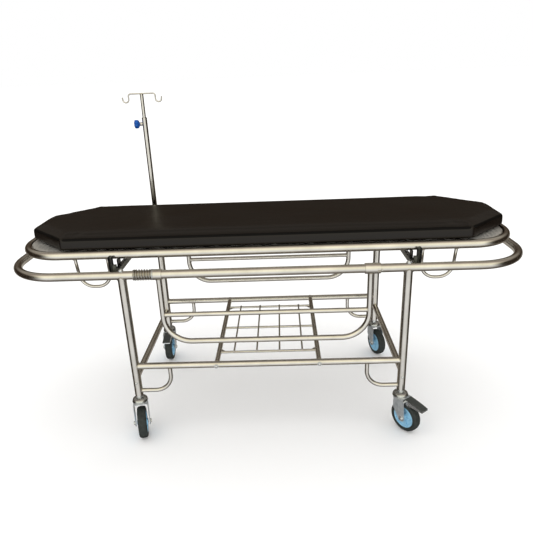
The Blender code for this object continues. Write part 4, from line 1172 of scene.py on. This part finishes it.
def add_pole_tube(x, y, knob_z):
    """The welded socket, the tube that stands in it with its threaded boss, and the bush in the tube's top."""
    place = Matrix.Translation((x, y, 0.0))
    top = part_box("pole_socket")[1].z
    floor, bore = BUMPER_Z + 0.009, POLE_R + 0.0005
    profile = [(SOCKET_R - 0.0008, top), (SOCKET_R, top - 0.0008), (SOCKET_R, floor), (bore, floor), (bore, top)]
    socket = Shape().lathe(profile, 44, True, place)
    socket.piece("socket_tube", STAINLESS, "trolley", ["pole_socket"], "stainless")
    low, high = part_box("pole_tube")
    edge = 0.0005
    profile = [(POLE_R - edge, high.z), (POLE_R, high.z - edge), (POLE_R, low.z + edge), (POLE_R - edge, low.z)]
    profile += [(POLE_BORE_R, low.z + 0.004), (POLE_BORE_R, high.z)]
    tube = Shape().lathe(profile, 44, True, place)
    boss = [(0.0070, 0.0190), (0.0075, 0.0185), (0.0075, 0.0096), (0.0045, 0.0096), (0.0045, 0.0190)]
    tube.lathe(boss, 32, True, facing((x, y, knob_z), -X))
    tube.piece("pole_outer_tube", STAINLESS, "pole", ["pole_tube"], "stainless")
    low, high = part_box("pole_bush")
    profile = [(0.0092, high.z), (0.0092, low.z), (0.0058, low.z), (0.0058, high.z)]
    bush = Shape().lathe(profile, 32, True, place)
    bush.piece("pole_glide_bush", NYLON, "pole_guide", ["pole_bush"], "nylon", bevel=0.0004)


def add_pole_rod(x, y):
    """The telescoping rod, slimmer inside the bush, and its wire cross bar with two hooks."""
    low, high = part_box("pole_bush")
    bar_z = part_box("pole_rod")[1].z - HOOK_WIRE_R
    rod = Shape().bar((x, y, high.z + 0.0003), (x, y, bar_z), ROD_R, 36, chamfer=0.0008)
    rod.bar((x, y, low.z), (x, y, high.z + 0.002), 0.0055, 24)
    right = [(HOOK_BAR_HALF - 0.012, 0.0)]
    right += arc((HOOK_BAR_HALF - 0.010, -0.010), 0.010, 88, 8, 7)
    right += arc((HOOK_BAR_HALF + HOOK_R, -0.022), HOOK_R, 188, 350, 16)
    right.append((HOOK_BAR_HALF + 2 * HOOK_R + 0.001, -0.013))
    path = [(x - px, y, bar_z + pz) for px, pz in reversed(right)]
    path += [(x + px, y, bar_z + pz) for px, pz in right]
    rod.sweep(path, HOOK_WIRE_R, 18, chamfer=0.0008)
    rod.piece("pole_rod_and_hooks", STAINLESS, "pole_hooks", ["pole_rod"], "stainless")
    weld = Shape().weld((x, y, bar_z - 0.0012), Z, X, ROD_R - 0.001, None, 0.0016)
    weld.piece("hook_weld_bead", WELD, "pole_hooks", slot="stainless")


def add_pole_knob(y, knob_z):
    """The lobed clamp knob and its threaded screw."""
    start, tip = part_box("pole_knob")[0].x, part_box("pole_knob")[1].x
    lobes, steps = 7, 112
    levels = [(0.0, 0.62), (0.0006, 0.86), (0.0020, 0.96), (0.0050, 1.0)]
    levels += [(0.0130, 1.0), (0.0160, 0.96), (0.0176, 0.86), (0.0180, 0.62)]
    verts = []
    for height, share in levels:
        for i in range(steps):
            turn = 2 * math.pi * i / steps
            r = (KNOB_R - 0.0030 * (0.5 - 0.5 * math.cos(lobes * turn))) * share
            verts.append((r * math.cos(turn), r * math.sin(turn), height))
    faces = ring_faces(len(levels), steps) + end_faces(len(levels), steps)
    move = facing((start, y, knob_z), X)
    knob = Shape().add(verts, faces, None, move)
    hub = [(0.0078, 0.0236), (0.0080, 0.0232), (0.0086, 0.0180), (0.0086, 0.0150), (0.0, 0.0150), (0.0, 0.0236)]
    knob.lathe(hub, 32, False, move)
    knob.piece("clamp_knob", KNOB, "pole_clamp", ["pole_knob"], "knob_plastic", angle=35)
    first, pitch = start + 0.0232, 4
    count = int((tip - first) * 1000) * pitch + 1
    points = [(first + i / 1000 / pitch, y, knob_z) for i in range(count)]
    radii = [0.0040 - 0.0005 * (i % pitch in (1, 2)) for i in range(count)]
    Shape().sweep(points, radii, 20).piece("clamp_screw", BRIGHT_ZINC, "pole_clamp", slot="zinc")


def add_pole():
    low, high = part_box("pole_socket")
    x, y = (low.x + high.x) / 2, (low.y + high.y) / 2
    knob_low, knob_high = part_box("pole_knob")
    knob_z = (knob_low.z + knob_high.z) / 2
    add_pole_tube(x, y, knob_z)
    add_pole_rod(x, y)
    add_pole_knob(y, knob_z)


# ---------------------------------------------------------------- stage


def add_camera():
    data = bpy.data.cameras.new("camera")
    camera = bpy.data.objects.new("camera", data)
    bpy.context.scene.collection.objects.link(camera)
    yaw, pitch, roll = -0.0315, -0.3741, -0.0403
    ahead = Vector((math.sin(yaw) * math.cos(pitch), math.cos(yaw) * math.cos(pitch), math.sin(pitch)))
    right = Vector((math.cos(yaw), -math.sin(yaw), 0.0))
    up = right.cross(ahead)
    across = math.cos(roll) * right + math.sin(roll) * up
    up = math.cos(roll) * up - math.sin(roll) * right
    turn = Matrix((across, up, -ahead)).transposed().to_4x4()
    camera.matrix_world = Matrix.Translation((0.0703, -2.0426, 1.3492)) @ turn
    data.sensor_width = 36.0
    data.lens = 35.01
    data.shift_x, data.shift_y = -0.0034, 0.0155
    data.clip_end = 400.0
    bpy.context.scene.camera = camera


def add_floor():
    mesh = bpy.data.meshes.new("floor")
    size = 120.0
    mesh.from_pydata([(-size, -size, 0), (size, -size, 0), (size, size, 0), (-size, size, 0)], [], [(0, 1, 2, 3)])
    floor = bpy.data.objects.new("floor", mesh)
    bpy.context.scene.collection.objects.link(floor)
    pale = bpy.data.materials.new("pale_floor")
    pale.use_nodes = True
    shader = pale.node_tree.nodes["Principled BSDF"]
    shader.inputs["Base Color"].default_value = (0.93, 0.93, 0.93, 1.0)
    shader.inputs["Roughness"].default_value = 0.9
    shader.inputs["Specular IOR Level"].default_value = 0.0
    mesh.materials.append(pale)
    floor.visible_glossy = False


# Brightness of the mirrored room by the turn about X in degrees: 0 is in front, 90 above, and 180 behind
ROOM = (
    (-180, (0.045, 0.030, 0.019)),
    (180, (0.045, 0.030, 0.019)),
    (-166, (0.46, 0.43, 0.38)),
    (-148, (0.32, 0.29, 0.25)),
    (-120, (0.13, 0.11, 0.09)),
    (-95, (0.12, 0.11, 0.10)),
    (-70, (0.28, 0.26, 0.24)),
    (-50, (0.56, 0.54, 0.51)),
    (-30, (0.98, 0.98, 0.98)),
    (-10, (1.18, 1.18, 1.14)),
    (12, (1.32, 1.28, 1.06)),
    (28, (1.46, 1.41, 1.16)),
    (54, (1.30, 1.22, 0.96)),
    (70, (0.84, 0.74, 0.62)),
    (86, (0.45, 0.38, 0.33)),
    (108, (0.34, 0.30, 0.25)),
    (128, (0.44, 0.41, 0.36)),
    (146, (0.28, 0.25, 0.21)),
    (162, (0.070, 0.049, 0.034)),
)
WALL_LOW, WALL_HIGH = (0.036, 0.026, 0.018), (0.40, 0.35, 0.29)


def add_studio():
    """Even soft light, with a broad bright window in front for the metal to mirror."""
    world = bpy.data.worlds.new("studio")
    bpy.context.scene.world = world
    world.use_nodes = True
    world.cycles.sampling_method = "NONE"
    world.node_tree.nodes.clear()
    n = Nodes(world.node_tree)
    direction = n.add("ShaderNodeTexCoord").outputs["Generated"]
    axes = n.add("ShaderNodeSeparateXYZ", direction).outputs
    turn = n.math("ARCTAN2", axes["Z"], n.math("MULTIPLY", axes["Y"], -1.0))
    ramp = n.add("ShaderNodeValToRGB", n.span(turn, -math.pi, math.pi))
    ramp.color_ramp.interpolation = "EASE"
    stops = ramp.color_ramp.elements
    for i, (degrees, colour) in enumerate(ROOM):
        where = (degrees + 180) / 360
        stop = stops[i] if i < 2 else stops.new(where)
        stop.position, stop.color = where, (*colour, 1.0)
    wall = n.blend(n.span(axes["Z"], 0.25, 0.60, smooth=True), WALL_LOW, WALL_HIGH)
    sideways = n.span(n.math("ABSOLUTE", axes["X"]), 0.60, 0.92, smooth=True)
    mirrored = n.blend(sideways, ramp.outputs["Color"], wall)
    path = n.add("ShaderNodeLightPath").outputs
    even = n.add("ShaderNodeBackground", (1.0, 0.995, 0.985, 1.0), 1.28)
    shown = n.add("ShaderNodeBackground", (1.0, 1.0, 1.0, 1.0), 1.0)
    mirror = n.add("ShaderNodeBackground", mirrored, 1.0)
    surface = n.add("ShaderNodeMixShader", path["Is Glossy Ray"], even.outputs[0], mirror.outputs[0])
    surface = n.add("ShaderNodeMixShader", path["Is Camera Ray"], surface.outputs[0], shown.outputs[0])
    n.add("ShaderNodeOutputWorld", surface.outputs[0])
    bpy.context.scene.view_settings.view_transform = "Standard"


def main():
    add_camera()
    add_studio()
    add_floor()
    add_bumper()
    add_legs()
    add_lower_frame()
    add_frame_welds()
    add_cross_beams()
    add_shelf()
    add_caster_stems()
    for side in SIDES:
        add_guard_rail(side)
        add_rail_spring(side)
    add_stretcher_loop()
    add_bed_panel()
    add_mattress()
    for name in CASTER_ANGLES:
        add_fork(name)
        add_wheel(name)
    for name in BRAKED:
        add_pedal(name)
    add_pole()


main()
